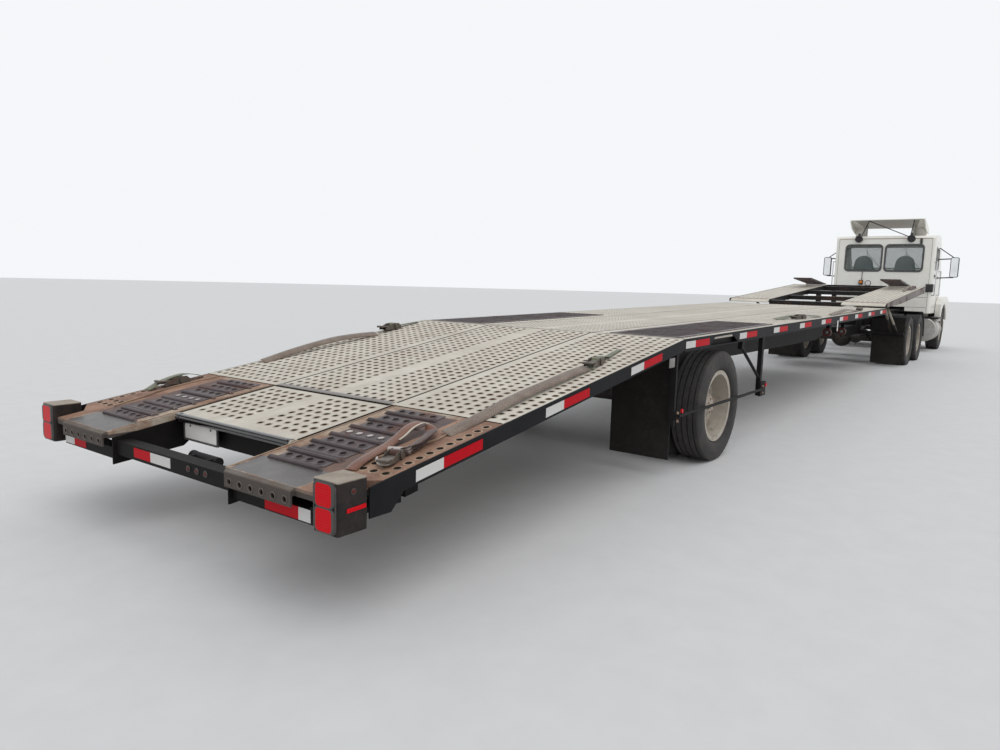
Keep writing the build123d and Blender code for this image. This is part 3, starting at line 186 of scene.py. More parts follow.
def band_group():
    """1 where a value lies between two limits, with ragged edges."""
    group, given, result = new_group("band", {"Value": 0.0, "Low": 0.0, "High": 1.0, "Ragged": 0.01},
                                     ["Mask"])
    wobble = calc(group, "SUBTRACT", noise(group, object_place(group), 26.0, 4.0, 0.65), 0.5)
    value = calc(group, "ADD", given["Value"], calc(group, "MULTIPLY", wobble, given["Ragged"]))
    above = ramp(group, calc(group, "SUBTRACT", value, given["Low"]), -0.002, 0.002)
    below = ramp(group, calc(group, "SUBTRACT", given["High"], value), -0.002, 0.002)
    group.links.new(calc(group, "MULTIPLY", above, below), result["Mask"])
    return group


def smear_group():
    """Long narrow smears along the direction of travel, over broad faint stains."""
    group, given, result = new_group("smears", {"Amount": 0.5}, ["Mask"])
    place = object_place(group)
    stretch = group.nodes.new("ShaderNodeVectorMath")
    stretch.operation = "MULTIPLY"
    stretch.inputs[1].default_value = (0.5, 5.5, 1.0)
    group.links.new(place, stretch.inputs[0])
    narrow = ramp(group, noise(group, stretch.outputs["Vector"], 2.2, 6.0, 0.7), 0.46, 0.70)
    broad = ramp(group, noise(group, place, 1.1, 5.0, 0.6), 0.45, 0.72)
    both = weighed(group, narrow, 0.65, broad, 0.5)
    group.links.new(calc(group, "MULTIPLY", both, given["Amount"]), result["Mask"])
    return group


smears = smear_group()
blotches = blotch_group()
road_dirt = road_dirt_group()
grain = grain_group()
band = band_group()


# Parts of a finish

def add_group(tree, group, **values):
    """Adds a shader group with its values, and gives its outputs."""
    node = tree.nodes.new("ShaderNodeGroup")
    node.node_tree = group
    for label, value in values.items():
        link(tree, value, node.inputs[label])
    return node.outputs


def mask_of(tree, group, **values):
    return add_group(tree, group, **values)["Mask"]


def banded(tree, value, low, high, ragged=0.012):
    return mask_of(tree, band, Value=value, Low=low, High=high, Ragged=ragged)


def blend_colour(tree, mask, first, second):
    """The first colour where the mask is 0, the second where it is 1; each is a tuple or a node's output."""
    node = tree.nodes.new("ShaderNodeMix")
    node.data_type = "RGBA"
    tree.links.new(mask, node.inputs["Factor"])
    for label, value in (("A", first), ("B", second)):
        socket = [s for s in node.inputs if s.name == label and s.type == "RGBA"][0]
        if isinstance(value, tuple):
            socket.default_value = (*value, 1.0)
        else:
            tree.links.new(value, socket)
    return [s for s in node.outputs if s.type == "RGBA"][0]


def finish_of(name, metallic=0.0, coat=0.0, shine=0.5):
    """A new material: its tree and its Principled shader."""
    material = bpy.data.materials.new(name)
    material.use_nodes = True
    tree = material.node_tree
    shader = tree.nodes["Principled BSDF"]
    shader.inputs["Metallic"].default_value = metallic
    shader.inputs["Coat Weight"].default_value = coat
    shader.inputs["Specular IOR Level"].default_value = shine
    return material, tree, shader


def set_base(tree, shader, colour, roughness):
    """Gives the shader its colour, and its roughness as a number or a node's output."""
    tree.links.new(colour, shader.inputs["Base Color"])
    link(tree, roughness, shader.inputs["Roughness"])


def add_bumps(tree, shader, height, strength, distance=0.002):
    """Gives the shader a fine relief that follows a height."""
    bumps = tree.nodes.new("ShaderNodeBump")
    bumps.inputs["Strength"].default_value = strength
    bumps.inputs["Distance"].default_value = distance
    tree.links.new(height, bumps.inputs["Height"])
    tree.links.new(bumps.outputs["Normal"], shader.inputs["Normal"])


def place_parts(tree):
    """Distance forward from the rear end, distance out from the middle plane, and height."""
    split = tree.nodes.new("ShaderNodeSeparateXYZ")
    tree.links.new(object_place(tree), split.inputs["Vector"])
    ahead = calc(tree, "SUBTRACT", split.outputs["X"], rear)
    return ahead, calc(tree, "ABSOLUTE", split.outputs["Y"], 0.0), split.outputs["Z"]


# The struts under the tail of the tractor's deck are pale: they lie below this height and behind this station
pale_strut_top = 1.13
pale_strut_front = 13.3


def worn_paint(name, colour, tone, rust=(0.16, 0.07, 0.035), rusted=0.2, rust_scale=2.0,
               dirt=(0.32, 0.27, 0.22), dirty=0.5, dirt_height=1.4, smooth=0.45, rough=0.75, grain_scale=70.0,
               bump=0.15, metallic=0.0, coat=0.0, inner=None, inboard_shade_edge=1.286, smeared=0.0, shine=0.5,
               pale_low=None):
    """Painted or bare steel with tone variation, rust patches, dried spray and a fine grain.

    inner is the colour of painted shade on what lies inboard of the outer faces, smeared the strength of long
    smears along the deck, and pale_low the colour of the struts under the tail of the tractor's deck."""
    material, tree, shader = finish_of(name, metallic, coat, shine)
    fine = add_group(tree, grain, Scale=grain_scale)
    base = blend_colour(tree, fine["Tone"], colour, tone)
    # Painted shade: inboard of the edge, the surface takes the inner colour instead of its own.
    if inner:
        base = blend_colour(tree, banded(tree, place_parts(tree)[1], inboard_shade_edge, 3.0, 0.0), inner, base)
    if pale_low:
        ahead, out, up = place_parts(tree)
        low = banded(tree, up, -1.0, pale_strut_top, 0.0)
        behind = banded(tree, ahead, -1.0, pale_strut_front, 0.0)
        base = blend_colour(tree, calc(tree, "MULTIPLY", low, behind), base, pale_low)
    if smeared:
        base = blend_colour(tree, mask_of(tree, smears, Amount=smeared), base, dirt)
    rust_mask = mask_of(tree, blotches, Scale=rust_scale, Cover=rusted, Softness=0.06)
    rusty = blend_colour(tree, rust_mask, base, rust)
    dirt_mask = mask_of(tree, road_dirt, Height=dirt_height, Amount=dirty)
    worn = calc(tree, "MAXIMUM", rust_mask, dirt_mask)
    set_base(tree, shader, blend_colour(tree, dirt_mask, rusty, dirt),
             ramp(tree, worn, 0.0, 1.0, smooth, rough))
    add_bumps(tree, shader, calc(tree, "ADD", fine["Height"], rust_mask), bump)
    return material


deck_paint = worn_paint("deck_paint", (0.57, 0.53, 0.455), (0.66, 0.625, 0.55), rust=(0.31, 0.22, 0.15),
                        rusted=0.22, rust_scale=2.6, dirt=(0.35, 0.305, 0.25), dirty=0.55, dirt_height=1.6,
                        smooth=0.6, rough=0.85, grain_scale=90.0, bump=0.25, smeared=0.5)
# The rims round the slope's holes: darker and browner than the deck, partly rust and dirt, partly painted shade
# of the pressed lips.
hole_edge = worn_paint("hole_edge", (0.30, 0.245, 0.18), (0.47, 0.42, 0.345), rust=(0.19, 0.105, 0.055),
                       rusted=0.45, rust_scale=3.0, dirt=(0.26, 0.21, 0.165), dirty=0.6, smooth=0.6,
                       rough=0.85)
traction_steel = worn_paint("traction_steel", (0.032, 0.023, 0.027), (0.085, 0.062, 0.066),
                            rust=(0.105, 0.050, 0.037), rusted=0.36, rust_scale=4.0,
                            dirt=(0.22, 0.175, 0.16), dirty=0.2, smooth=0.38, rough=0.8, grain_scale=45.0,
                            bump=0.4, shine=0.3)
galvanised = worn_paint("galvanised", (0.15, 0.14, 0.135), (0.24, 0.23, 0.22), rust=(0.20, 0.125, 0.085),
                        rusted=0.25, rust_scale=6.0, dirt=(0.26, 0.22, 0.19), dirty=0.5, smooth=0.35,
                        rough=0.7, metallic=0.35)
rusty_steel = worn_paint("rusty_steel", (0.28, 0.17, 0.105), (0.38, 0.27, 0.19), rust=(0.14, 0.065, 0.04),
                         rusted=0.42, rust_scale=4.5, dirt=(0.33, 0.27, 0.21), dirty=0.5, smooth=0.6,
                         rough=0.9, bump=0.35)
frame_paint = worn_paint("frame_paint", (0.008, 0.008, 0.009), (0.016, 0.016, 0.017),
                         rust=(0.04, 0.021, 0.013), rusted=0.14, rust_scale=3.2, dirt=(0.028, 0.023, 0.020),
                         dirty=0.35, smooth=0.5, rough=0.85, shine=0.10)
# Painted shade: the inboard faces of the trailer frame under the deck are painted near black.
rail_paint = worn_paint("rail_paint", (0.005, 0.006, 0.008), (0.011, 0.012, 0.014),
                        rust=(0.035, 0.018, 0.012), rusted=0.12, rust_scale=2.2, dirt=(0.032, 0.027, 0.023),
                        dirty=0.3, smooth=0.5, rough=0.85, inner=(0.004, 0.004, 0.004), shine=0.10)
# Painted shade: the inboard faces of the tractor's deck frame are painted near black.
deck_rail = worn_paint("deck_rail", (0.075, 0.052, 0.046), (0.16, 0.125, 0.11), rust=(0.06, 0.030, 0.020),
                       rusted=0.4, rust_scale=2.6, dirt=(0.10, 0.085, 0.07), dirty=0.3, smooth=0.4,
                       rough=0.8, inner=(0.006, 0.006, 0.006), inboard_shade_edge=1.283, shine=0.25,
                       pale_low=(0.33, 0.29, 0.235))
gloss_black = worn_paint("gloss_black", (0.006, 0.006, 0.007), (0.010, 0.010, 0.011),
                         rust=(0.03, 0.024, 0.02), rusted=0.06, dirt=(0.05, 0.045, 0.04), dirty=0.15,
                         smooth=0.14, rough=0.4, bump=0.02, coat=0.8)

axle_paint = worn_paint("axle_paint", (0.014, 0.013, 0.013), (0.030, 0.028, 0.026),
                        rust=(0.06, 0.033, 0.02), rusted=0.35, rust_scale=5.0, dirt=(0.10, 0.084, 0.07),
                        dirty=0.8, smooth=0.5, rough=0.85, bump=0.3)
cab_paint = worn_paint("cab_paint", (0.83, 0.815, 0.755), (0.87, 0.855, 0.80), rust=(0.36, 0.27, 0.19),
                       rusted=0.03, rust_scale=3.0, dirt=(0.42, 0.37, 0.31), dirty=0.6, dirt_height=1.7,
                       smooth=0.28, rough=0.7, grain_scale=160.0, bump=0.04, coat=0.4)
rim_paint = worn_paint("rim_paint", (0.42, 0.385, 0.33), (0.53, 0.49, 0.43), rust=(0.17, 0.095, 0.06),
                       rusted=0.3, rust_scale=7.0, dirt=(0.23, 0.18, 0.14), dirty=0.7, smooth=0.5,
                       rough=0.85)
bright_metal = worn_paint("bright_metal", (0.62, 0.62, 0.63), (0.70, 0.70, 0.70), rust=(0.30, 0.24, 0.19),
                          rusted=0.05, dirt=(0.35, 0.30, 0.25), dirty=0.6, smooth=0.16, rough=0.6,
                          metallic=0.9, bump=0.03)
black_plastic = worn_paint("black_plastic", (0.020, 0.020, 0.022), (0.032, 0.032, 0.032),
                           rust=(0.06, 0.05, 0.045), rusted=0.08, dirt=(0.16, 0.14, 0.12), dirty=0.4,
                           smooth=0.45, rough=0.8, grain_scale=300.0)
flap_rubber = worn_paint("flap_rubber", (0.008, 0.008, 0.008), (0.015, 0.015, 0.014),
                         rust=(0.035, 0.030, 0.026), rusted=0.3, rust_scale=4.0, dirt=(0.050, 0.042, 0.036),
                         dirty=0.5, smooth=0.6, rough=0.9, shine=0.12)
engine_paint = worn_paint("engine_paint", (0.10, 0.10, 0.10), (0.15, 0.145, 0.14), rust=(0.14, 0.08, 0.05),
                          rusted=0.25, rust_scale=5.0, dirt=(0.18, 0.15, 0.13), dirty=0.7)
plate_white = worn_paint("plate_white", (0.72, 0.71, 0.69), (0.78, 0.77, 0.75), rust=(0.40, 0.34, 0.28),
                         rusted=0.06, dirt=(0.45, 0.40, 0.34), dirty=0.4, smooth=0.3, rough=0.6, bump=0.03)


def track_steel_finish():
    """The rear tracks: rusty strips inboard and outboard, dark worn plates between them and a grey tail."""
    material, tree, shader = finish_of("track_steel")
    ahead, out, up = place_parts(tree)
    fine = add_group(tree, grain, Scale=70.0)
    rust_mask = mask_of(tree, blotches, Scale=5.0, Cover=0.5, Softness=0.1)
    pale = blend_colour(tree, fine["Tone"], (0.37, 0.29, 0.215), (0.44, 0.385, 0.315))
    strip = blend_colour(tree, rust_mask, pale, (0.215, 0.115, 0.07))
    outer = blend_colour(tree, rust_mask, (0.33, 0.195, 0.13), (0.155, 0.078, 0.052))
    strips = blend_colour(tree, banded(tree, out, 1.04, 1.4), strip, outer)
    plate = blend_colour(tree, rust_mask, (0.085, 0.062, 0.062), (0.16, 0.095, 0.07))
    middle = calc(tree, "MULTIPLY", banded(tree, out, 0.625, 1.04), banded(tree, ahead, 0.2, 1.02))
    top = blend_colour(tree, middle, strips, plate)
    grey = blend_colour(tree, fine["Tone"], (0.055, 0.048, 0.046), (0.125, 0.115, 0.11))
    tail = calc(tree, "MULTIPLY", banded(tree, out, 0.56, 1.03, 0.05), banded(tree, ahead, 0.03, 0.205, 0.03))
    with_tail = blend_colour(tree, tail, top, grey)
    hung = blend_colour(tree, rust_mask, (0.135, 0.118, 0.10), (0.095, 0.070, 0.055))
    shown = blend_colour(tree, banded(tree, ahead, -0.1, 0.0255, 0.0), with_tail, hung)
    below = calc(tree, "MULTIPLY", banded(tree, up, 0.0, 0.575, 0.0), banded(tree, ahead, -0.1, 0.4, 0.0))
    whole = blend_colour(tree, below, shown, (0.06, 0.048, 0.042))
    set_base(tree, shader, whole, ramp(tree, tail, 0.0, 1.0, 0.75, 0.36))
    add_bumps(tree, shader, calc(tree, "ADD", fine["Height"], rust_mask), 0.4)
    return material


def lamp_box_finish():
    """Dark spray-stained boxes with a worn pale top."""
    material, tree, shader = finish_of("lamp_box_paint", shine=0.2)
    up = place_parts(tree)[2]
    stain = mask_of(tree, blotches, Scale=7.0, Cover=0.45, Softness=0.12)
    side = blend_colour(tree, stain, (0.012, 0.010, 0.010), (0.036, 0.026, 0.022))
    worn = blend_colour(tree, stain, (0.36, 0.315, 0.26), (0.25, 0.205, 0.165))
    set_base(tree, shader, blend_colour(tree, banded(tree, up, 0.655, 0.8, 0.004), side, worn), 0.6)
    add_bumps(tree, shader, add_group(tree, grain, Scale=60.0)["Height"], 0.2)
    return material


def cab_roof_finish():
    """Cream paint above, and painted shade on the underside of the roof deflector: patchy grey."""
    material, tree, shader = finish_of("deflector_paint", coat=0.3)
    ahead, out, up = place_parts(tree)
    cream = blend_colour(tree, add_group(tree, grain, Scale=120.0)["Tone"], (0.765, 0.745, 0.685),
                         (0.81, 0.79, 0.735))
    stain = mask_of(tree, blotches, Scale=3.5, Cover=0.4, Softness=0.2)
    # Painted shade: patchy grey below the deflector's plate.
    grey = blend_colour(tree, stain, (0.40, 0.385, 0.345), (0.33, 0.315, 0.28))
    plate = calc(tree, "SUBTRACT", 3.151, calc(tree, "MULTIPLY", calc(tree, "SUBTRACT", ahead, 18.38), 0.246))
    below = banded(tree, calc(tree, "SUBTRACT", plate, up), 0.0, 2.0, 0.0)
    under = calc(tree, "MULTIPLY", below, banded(tree, out, -1.0, 0.79, 0.0))
    set_base(tree, shader, blend_colour(tree, under, cream, grey), 0.4)
    return material


def tank_finish():
    """Dull metal drums with a black step on top."""
    material, tree, shader = finish_of("tank_metal_dull", metallic=0.5)
    out, up = place_parts(tree)[1:]
    dirt_mask = mask_of(tree, road_dirt, Height=1.4, Amount=0.8)
    metal = blend_colour(tree, add_group(tree, grain, Scale=90.0)["Tone"], (0.50, 0.495, 0.48),
                         (0.60, 0.59, 0.57))
    dirty = blend_colour(tree, dirt_mask, metal, (0.24, 0.20, 0.165))
    step = calc(tree, "MULTIPLY", banded(tree, up, 0.8, 0.9, 0.0), banded(tree, out, 0.92, 2.0, 0.0))
    set_base(tree, shader, blend_colour(tree, step, dirty, (0.015, 0.015, 0.015)), 0.42)
    return material


def tyre_rubber_finish():
    """Black rubber, grey-brown with dried spray."""
    material, tree, shader = finish_of("tyre_rubber")
    fine = add_group(tree, grain, Scale=120.0)
    base = blend_colour(tree, fine["Tone"], (0.014, 0.014, 0.015), (0.026, 0.026, 0.026))
    dust = mask_of(tree, blotches, Scale=6.0, Cover=0.5, Softness=0.2)
    worn = calc(tree, "MULTIPLY", dust, mask_of(tree, road_dirt, Height=2.2, Amount=0.55))
    set_base(tree, shader, blend_colour(tree, worn, base, (0.13, 0.11, 0.095)), 0.82)
    add_bumps(tree, shader, fine["Height"], 0.25)
    return material


def lens_finish(name, colour, glow=0.0, cells=90.0, coat=0.35, smooth=0.22):
    """A moulded lens: clear gloss over a grid of small cells."""
    material, tree, shader = finish_of(name, coat=coat, shine=0.12)
    cell = tree.nodes.new("ShaderNodeTexVoronoi")
    cell.distance = "CHEBYCHEV"
    cell.inputs["Scale"].default_value = cells
    cell.inputs["Randomness"].default_value = 0.0
    tree.links.new(object_place(tree), cell.inputs["Vector"])
    deep = tuple(0.62 * c for c in colour)
    edge = ramp(tree, cell.outputs["Distance"], 0.2, 0.5)
    set_base(tree, shader, blend_colour(tree, edge, colour, deep), smooth)
    if glow:
        shader.inputs["Emission Color"].default_value = (*colour, 1.0)
        shader.inputs["Emission Strength"].default_value = glow
    add_bumps(tree, shader, cell.outputs["Distance"], 0.35)
    return material


def glass_finish(name, clean, dusty, scale, cover, metallic=0.0, alpha=1.0):
    """A window's tinted glass or a mirror, with a little dust."""
    material, tree, shader = finish_of(name, metallic)
    smear = mask_of(tree, blotches, Scale=scale, Cover=cover, Softness=0.2)
    set_base(tree, shader, blend_colour(tree, smear, clean, dusty), 0.05)
    shader.inputs["Alpha"].default_value = alpha
    return material


def webbing_finish(name, colour, faded):
    """Woven strap: fine ribs across it, faded and dirty."""
    material, tree, shader = finish_of(name)
    wave = tree.nodes.new("ShaderNodeTexWave")
    wave.inputs["Scale"].default_value = 110.0
    wave.inputs["Distortion"].default_value = 0.4
    tree.links.new(object_place(tree), wave.inputs["Vector"])
    base = blend_colour(tree, mask_of(tree, blotches, Scale=9.0, Cover=0.55, Softness=0.12), colour, faded)
    between = tuple(0.55 * c for c in colour)
    set_base(tree, shader, blend_colour(tree, ramp(tree, wave.outputs["Fac"], 0.0, 0.5), between, base), 0.85)
    shader.inputs["Sheen Weight"].default_value = 0.3
    add_bumps(tree, shader, wave.outputs["Fac"], 0.4, 0.001)
    return material


def dull_finish(name, colour, tone, roughness, grain_scale, shine=0.5, sheen=0.0):
    """A dull surface that varies slightly in tone."""
    material, tree, shader = finish_of(name, shine=shine)
    set_base(tree, shader, blend_colour(tree, add_group(tree, grain, Scale=grain_scale)["Tone"], colour,
                                        tone), roughness)
    shader.inputs["Sheen Weight"].default_value = sheen
    return material


track_steel = track_steel_finish()
deflector_paint = cab_roof_finish()
tank_metal_dull = tank_finish()
lamp_box_paint = lamp_box_finish()
tyre_rubber = tyre_rubber_finish()
# The red lens glows faintly; on the side reflectors, which take it too, that glow is painted light.
red_lens = lens_finish("red_lens", (0.60, 0.0, 0.006), glow=0.10, coat=0.03)
amber_lens = lens_finish("amber_lens", (0.75, 0.22, 0.02), glow=0.1)
clear_lens = lens_finish("clear_lens", (0.78, 0.78, 0.76), cells=50.0)
lamp_glass = lens_finish("lamp_glass", (0.030, 0.026, 0.030), cells=60.0, coat=0.3)
marker_lens = lens_finish("marker_lens", (0.115, 0.020, 0.013), cells=140.0, coat=0.15, smooth=0.4)
red_tape = lens_finish("red_tape", (0.56, 0.0, 0.009), cells=220.0, coat=0.0, smooth=0.5)
white_tape = lens_finish("white_tape", (0.72, 0.71, 0.69), cells=220.0, coat=0.0, smooth=0.5)
dark_glass = glass_finish("dark_glass", (0.10, 0.15, 0.14), (0.30, 0.34, 0.32), 3.0, 0.35, alpha=0.27)
mirror_glass = glass_finish("mirror_glass", (0.75, 0.77, 0.78), (0.62, 0.62, 0.60), 6.0, 0.3, metallic=1.0)
orange_strap = webbing_finish("orange_strap", (0.150, 0.052, 0.026), (0.235, 0.100, 0.058))
dark_strap = webbing_finish("dark_strap", (0.055, 0.018, 0.012), (0.085, 0.034, 0.024))
brown_strap = webbing_finish("brown_strap", (0.145, 0.098, 0.072), (0.25, 0.195, 0.15))
green_strap = webbing_finish("green_strap", (0.10, 0.115, 0.062), (0.19, 0.20, 0.13))
# Pale webbing for a painted highlight along the top of a coiled strap.
strap_edge_highlight = webbing_finish("strap_edge_highlight", (0.55, 0.48, 0.38), (0.68, 0.62, 0.52))
seat_cloth = dull_finish("seat_cloth", (0.07, 0.07, 0.075), (0.11, 0.11, 0.115), 0.9, 400.0, sheen=0.4)
hole_shadow = dull_finish("hole_shadow", (0.006, 0.005, 0.004), (0.020, 0.015, 0.011), 0.95, 80.0, shine=0.1)
dark_steel = worn_paint("dark_steel", (0.055, 0.042, 0.034), (0.12, 0.10, 0.082), rust=(0.07, 0.032, 0.02),
                        rusted=0.3, rust_scale=9.0, dirty=0.2, smooth=0.4, rough=0.75, metallic=0.2)
pale_steel = worn_paint("pale_steel", (0.42, 0.37, 0.345), (0.55, 0.50, 0.47), rust=(0.28, 0.21, 0.18),
                        rusted=0.25, rust_scale=9.0, dirty=0.3, smooth=0.4, rough=0.7)

# The finish of each CAD node; the rims and the tyres take theirs below
finish_nodes = (
    (deck_paint, ("trailer_deck", "centre_panel", "tractor_tracks")),
    (track_steel, ("rear_tracks",)),
    (traction_steel, ("traction_grates", "flip_plate_left", "flip_plate_right")),
    (rail_paint, ("trailer_frame",)),
    (lamp_box_paint, ("lamp_boxes",)),
    (red_lens, ("tail_lamps",)),
    (axle_paint, ("trailer_axle", "front_axle", "drive_axles", "knuckle_left", "knuckle_right")),
    (flap_rubber, ("trailer_mud_flaps", "drive_mud_flaps")),
    (frame_paint, ("wheel_guards", "tractor_frame")),
    (deck_rail, ("tractor_deck_frame",)),
    (cab_paint, ("cab_shell", "hood", "door_left", "door_right")),
    (dark_glass, ("cab_glass", "door_glass_left", "door_glass_right")),
    (deflector_paint, ("roof_deflector",)),
    (black_plastic, ("work_lamps", "dashboard", "quarter_fenders", "mirror_left", "mirror_right")),
    (seat_cloth, ("seats",)),
    (engine_paint, ("engine", "radiator")),
    (tank_metal_dull, ("fuel_tanks",)),
    (bright_metal, ("front_bumper", "grille")),
    (clear_lens, ("headlamps",)),
)
node_finish = {name: finish for finish, names in finish_nodes for name in names}
for node_name, thing in nodes.items():
    finish = node_finish.get(node_name)
    if finish is None:
        finish = tyre_rubber if "tyre" in node_name else rim_paint
    thing.data.materials.clear()
    thing.data.materials.append(finish)


# Modelling helpers

def brick(mesh, low, high, bevel=0.0, finish=0, segments=2):
    """Adds a block between two corners, with its edges rounded."""
    low, high = Vector(low), Vector(high)
    place = Matrix.Translation((low + high) / 2) @ Matrix.Diagonal((*(high - low), 1.0))
    made = bmesh.ops.create_cube(mesh, size=1.0, matrix=place)
    faces = {face for vert in made["verts"] for face in vert.link_faces}
    for face in faces:
        face.material_index = finish
    if bevel:
        edges = {edge for vert in made["verts"] for edge in vert.link_edges}
        bmesh.ops.bevel(mesh, geom=list(edges), offset=bevel, offset_type="OFFSET", affect="EDGES",
                        segments=segments, profile=0.5, material=-1)
    return made["verts"]


def bar(mesh, start, end, radius, sides=12, finish=0, tip=None):
    """Adds a round bar, or a cone when tip is given, from start to end."""
    start, end = Vector(start), Vector(end)
    run = end - start
    turn = run.to_track_quat("Z", "Y").to_matrix().to_4x4()
    place = Matrix.Translation((start + end) / 2) @ turn
    made = bmesh.ops.create_cone(mesh, cap_ends=True, segments=sides, radius1=radius,
                                 radius2=radius if tip is None else tip, depth=run.length, matrix=place)
    for vert in made["verts"]:
        for face in vert.link_faces:
            face.material_index = finish


def disc(mesh, centre, axis, height, radius, sides=12, finish=0, tip=None):
    """Adds a short round bar that stands on a face."""
    bar(mesh, centre, Vector(centre) + height * Vector(axis), radius, sides, finish, tip)


def lathe(mesh, outline, centre, steps):
    """Spins an outline of (y, radius) points about the Y axis through centre."""
    centre = Vector(centre)
    verts = [mesh.verts.new(centre + Vector((0.0, y, radius))) for y, radius in outline]
    edges = [mesh.edges.new(pair) for pair in zip(verts, verts[1:])]
    bmesh.ops.spin(mesh, geom=verts + edges, cent=centre, axis=(0.0, 1.0, 0.0), angle=2 * math.pi,
                   steps=steps, use_merge=True)
    bmesh.ops.remove_doubles(mesh, verts=mesh.verts[:], dist=0.0001)


def slab(mesh, outline, thickness, finish=0, bevel=0.0):
    """Adds a flat plate: an outline of points in order, thickened along the vector."""
    face = mesh.faces.new([mesh.verts.new(Vector(point)) for point in outline])
    made = bmesh.ops.extrude_face_region(mesh, geom=[face])
    moved = [item for item in made["geom"] if isinstance(item, bmesh.types.BMVert)]
    bmesh.ops.translate(mesh, verts=moved, vec=Vector(thickness))
    faces = {f for vert in moved for f in vert.link_faces} | {face}
    for member in faces:
        member.material_index = finish
    if bevel:
        edges = {edge for member in faces for edge in member.edges}
        bmesh.ops.bevel(mesh, geom=list(edges), offset=bevel, offset_type="OFFSET", affect="EDGES",
                        segments=1, profile=0.5, material=-1)


def other_side(mesh):
    """Adds the same pieces on the other side of the vehicle."""
    made = bmesh.ops.duplicate(mesh, geom=mesh.verts[:] + mesh.edges[:] + mesh.faces[:])
    verts = [item for item in made["geom"] if isinstance(item, bmesh.types.BMVert)]
    faces = [item for item in made["geom"] if isinstance(item, bmesh.types.BMFace)]
    bmesh.ops.scale(mesh, vec=(1.0, -1.0, 1.0), verts=verts)
    bmesh.ops.reverse_faces(mesh, faces=faces)


def done(mesh, name, body, finishes, smooth=35.0, outward=True):
    """Turns a bmesh into a finished piece of the scene that rides on a body."""
    if outward:
        bmesh.ops.recalc_face_normals(mesh, faces=mesh.faces[:])
    data = bpy.data.meshes.new(name)
    mesh.to_mesh(data)
    mesh.free()
    for finish in finishes:
        data.materials.append(finish)
    data.polygons.foreach_set("use_smooth", [True] * len(data.polygons))
    data.set_sharp_from_angle(angle=math.radians(smooth))
    piece = bpy.data.objects.new(name, data)
    bpy.context.scene.collection.objects.link(piece)
    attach(piece, body)
    return piece


def applied(piece):
    """Applies the piece's modifiers, so that its mesh holds the whole shape."""
    seen = bpy.context.evaluated_depsgraph_get()
    data = bpy.data.meshes.new_from_object(piece.evaluated_get(seen), preserve_all_data_layers=True,
                                           depsgraph=seen)
    piece.modifiers.clear()
    old = piece.data
    piece.data = data
    data.name = piece.name
    bpy.data.meshes.remove(old)


# Perforated plates: rows of holes with a pressed rim

hole_radius = 0.0145
hole_pitch_x = 0.067
hole_pitch_y = 0.0705


def pressed_hole(mesh, centre, slope, sides=8, radius=hole_radius, rise=0.0016, bottom=1):
    """One hole: a sloping outer rim, a wall going down inside it and a bottom painted dark as the shade in the
    hole.
    """
    tilt = Matrix.Translation(Vector(centre)) @ Matrix.Rotation(-math.atan(slope), 4, "Y")
    levels = ((radius * 1.62, 0.0002), (radius * 1.16, rise), (radius, 0.6 * rise))
    rings = []
    for size, height in levels:
        made = bmesh.ops.create_circle(mesh, cap_ends=False, radius=size, segments=sides,
                                       matrix=tilt @ Matrix.Translation((0.0, 0.0, height)))
        rings.append(list({edge for vert in made["verts"] for edge in vert.link_edges}))
    for outer, inner in zip(rings, rings[1:]):
        bmesh.ops.bridge_loops(mesh, edges=outer + inner)
    made = bmesh.ops.contextual_create(mesh, geom=rings[-1])
    for face in made["faces"]:
        face.material_index = bottom


def hole_field(name, body, finish, d, y, rows, columns, slope, sides=8, pitch_x=hole_pitch_x,
               pitch_y=hole_pitch_y, radius=hole_radius, rise=0.0016, height=deck_z):
    """Holes on both sides of the vehicle: rows forward along the slope and columns outboard, from (d, y)."""
    mesh = bmesh.new()
    pressed_hole(mesh, at(d, y, height(d)), slope, sides, radius, rise)
    piece = done(mesh, name, body, [finish, hole_shadow], outward=False)
    for count, step in ((columns, (0.0, pitch_y, 0.0)), (rows, (pitch_x, 0.0, pitch_x * slope))):
        row = piece.modifiers.new("row", "ARRAY")
        row.use_relative_offset = False
        row.use_constant_offset = True
        row.constant_offset_displace = step
        row.count = count
    both_sides = piece.modifiers.new("both", "MIRROR")
    both_sides.use_axis = (False, True, False)
    both_sides.use_mirror_merge = False
    applied(piece)


centre_column = 0.097
side_column = 0.613
outer_column = 1.2475
hole_field("panel_holes_rear", "trailer", hole_edge, 0.517, centre_column, 8, 6, deck_rear_slope, sides=12)
hole_field("slope_holes_centre", "trailer", hole_edge, 1.135, centre_column, 32, 6, deck_rear_slope)
hole_field("slope_holes_side", "trailer", hole_edge, 1.135, side_column, 32, 10, deck_rear_slope)
for label, d, y, rows, columns in (
    ("centre", 3.335, centre_column, 118, 6),
    ("side", 5.62, side_column, 83, 10),
    ("inner", 3.335, side_column, 34, 1),
    ("outer", 3.335, outer_column, 34, 1),
):
    hole_field(f"deck_holes_{label}", "trailer", deck_paint, d, y, rows, columns, deck_front_slope, sides=6,
               rise=0.0006)
hole_field("corner_holes", "trailer", rusty_steel, 0.313, 1.243, 11, 1, deck_rear_slope, sides=12,
           radius=0.017, pitch_x=0.0678)
hole_field("corner_holes_inner", "trailer", rusty_steel, 0.310, 1.112, 2, 2, deck_rear_slope, sides=12,
           radius=0.017, pitch_y=0.062)
hole_field("tractor_holes", "tractor", deck_paint, tractor_deck_rear + 0.13, 0.65, 60, 9, tractor_deck_slope,
           sides=6, rise=0.0008, height=tractor_deck_z)

# Reflective tape along both side rails: a white and a red length, twelve times
tape_starts = (0.44, 1.44, 2.42, 3.28, 4.43, 5.39, 6.30, 7.21, 8.11, 9.01, 9.91, 10.81)
tape_white = 0.178
tape_red = 0.279
tape_height = 0.051
tape_drop = 0.020
tape_thickness = 0.0012


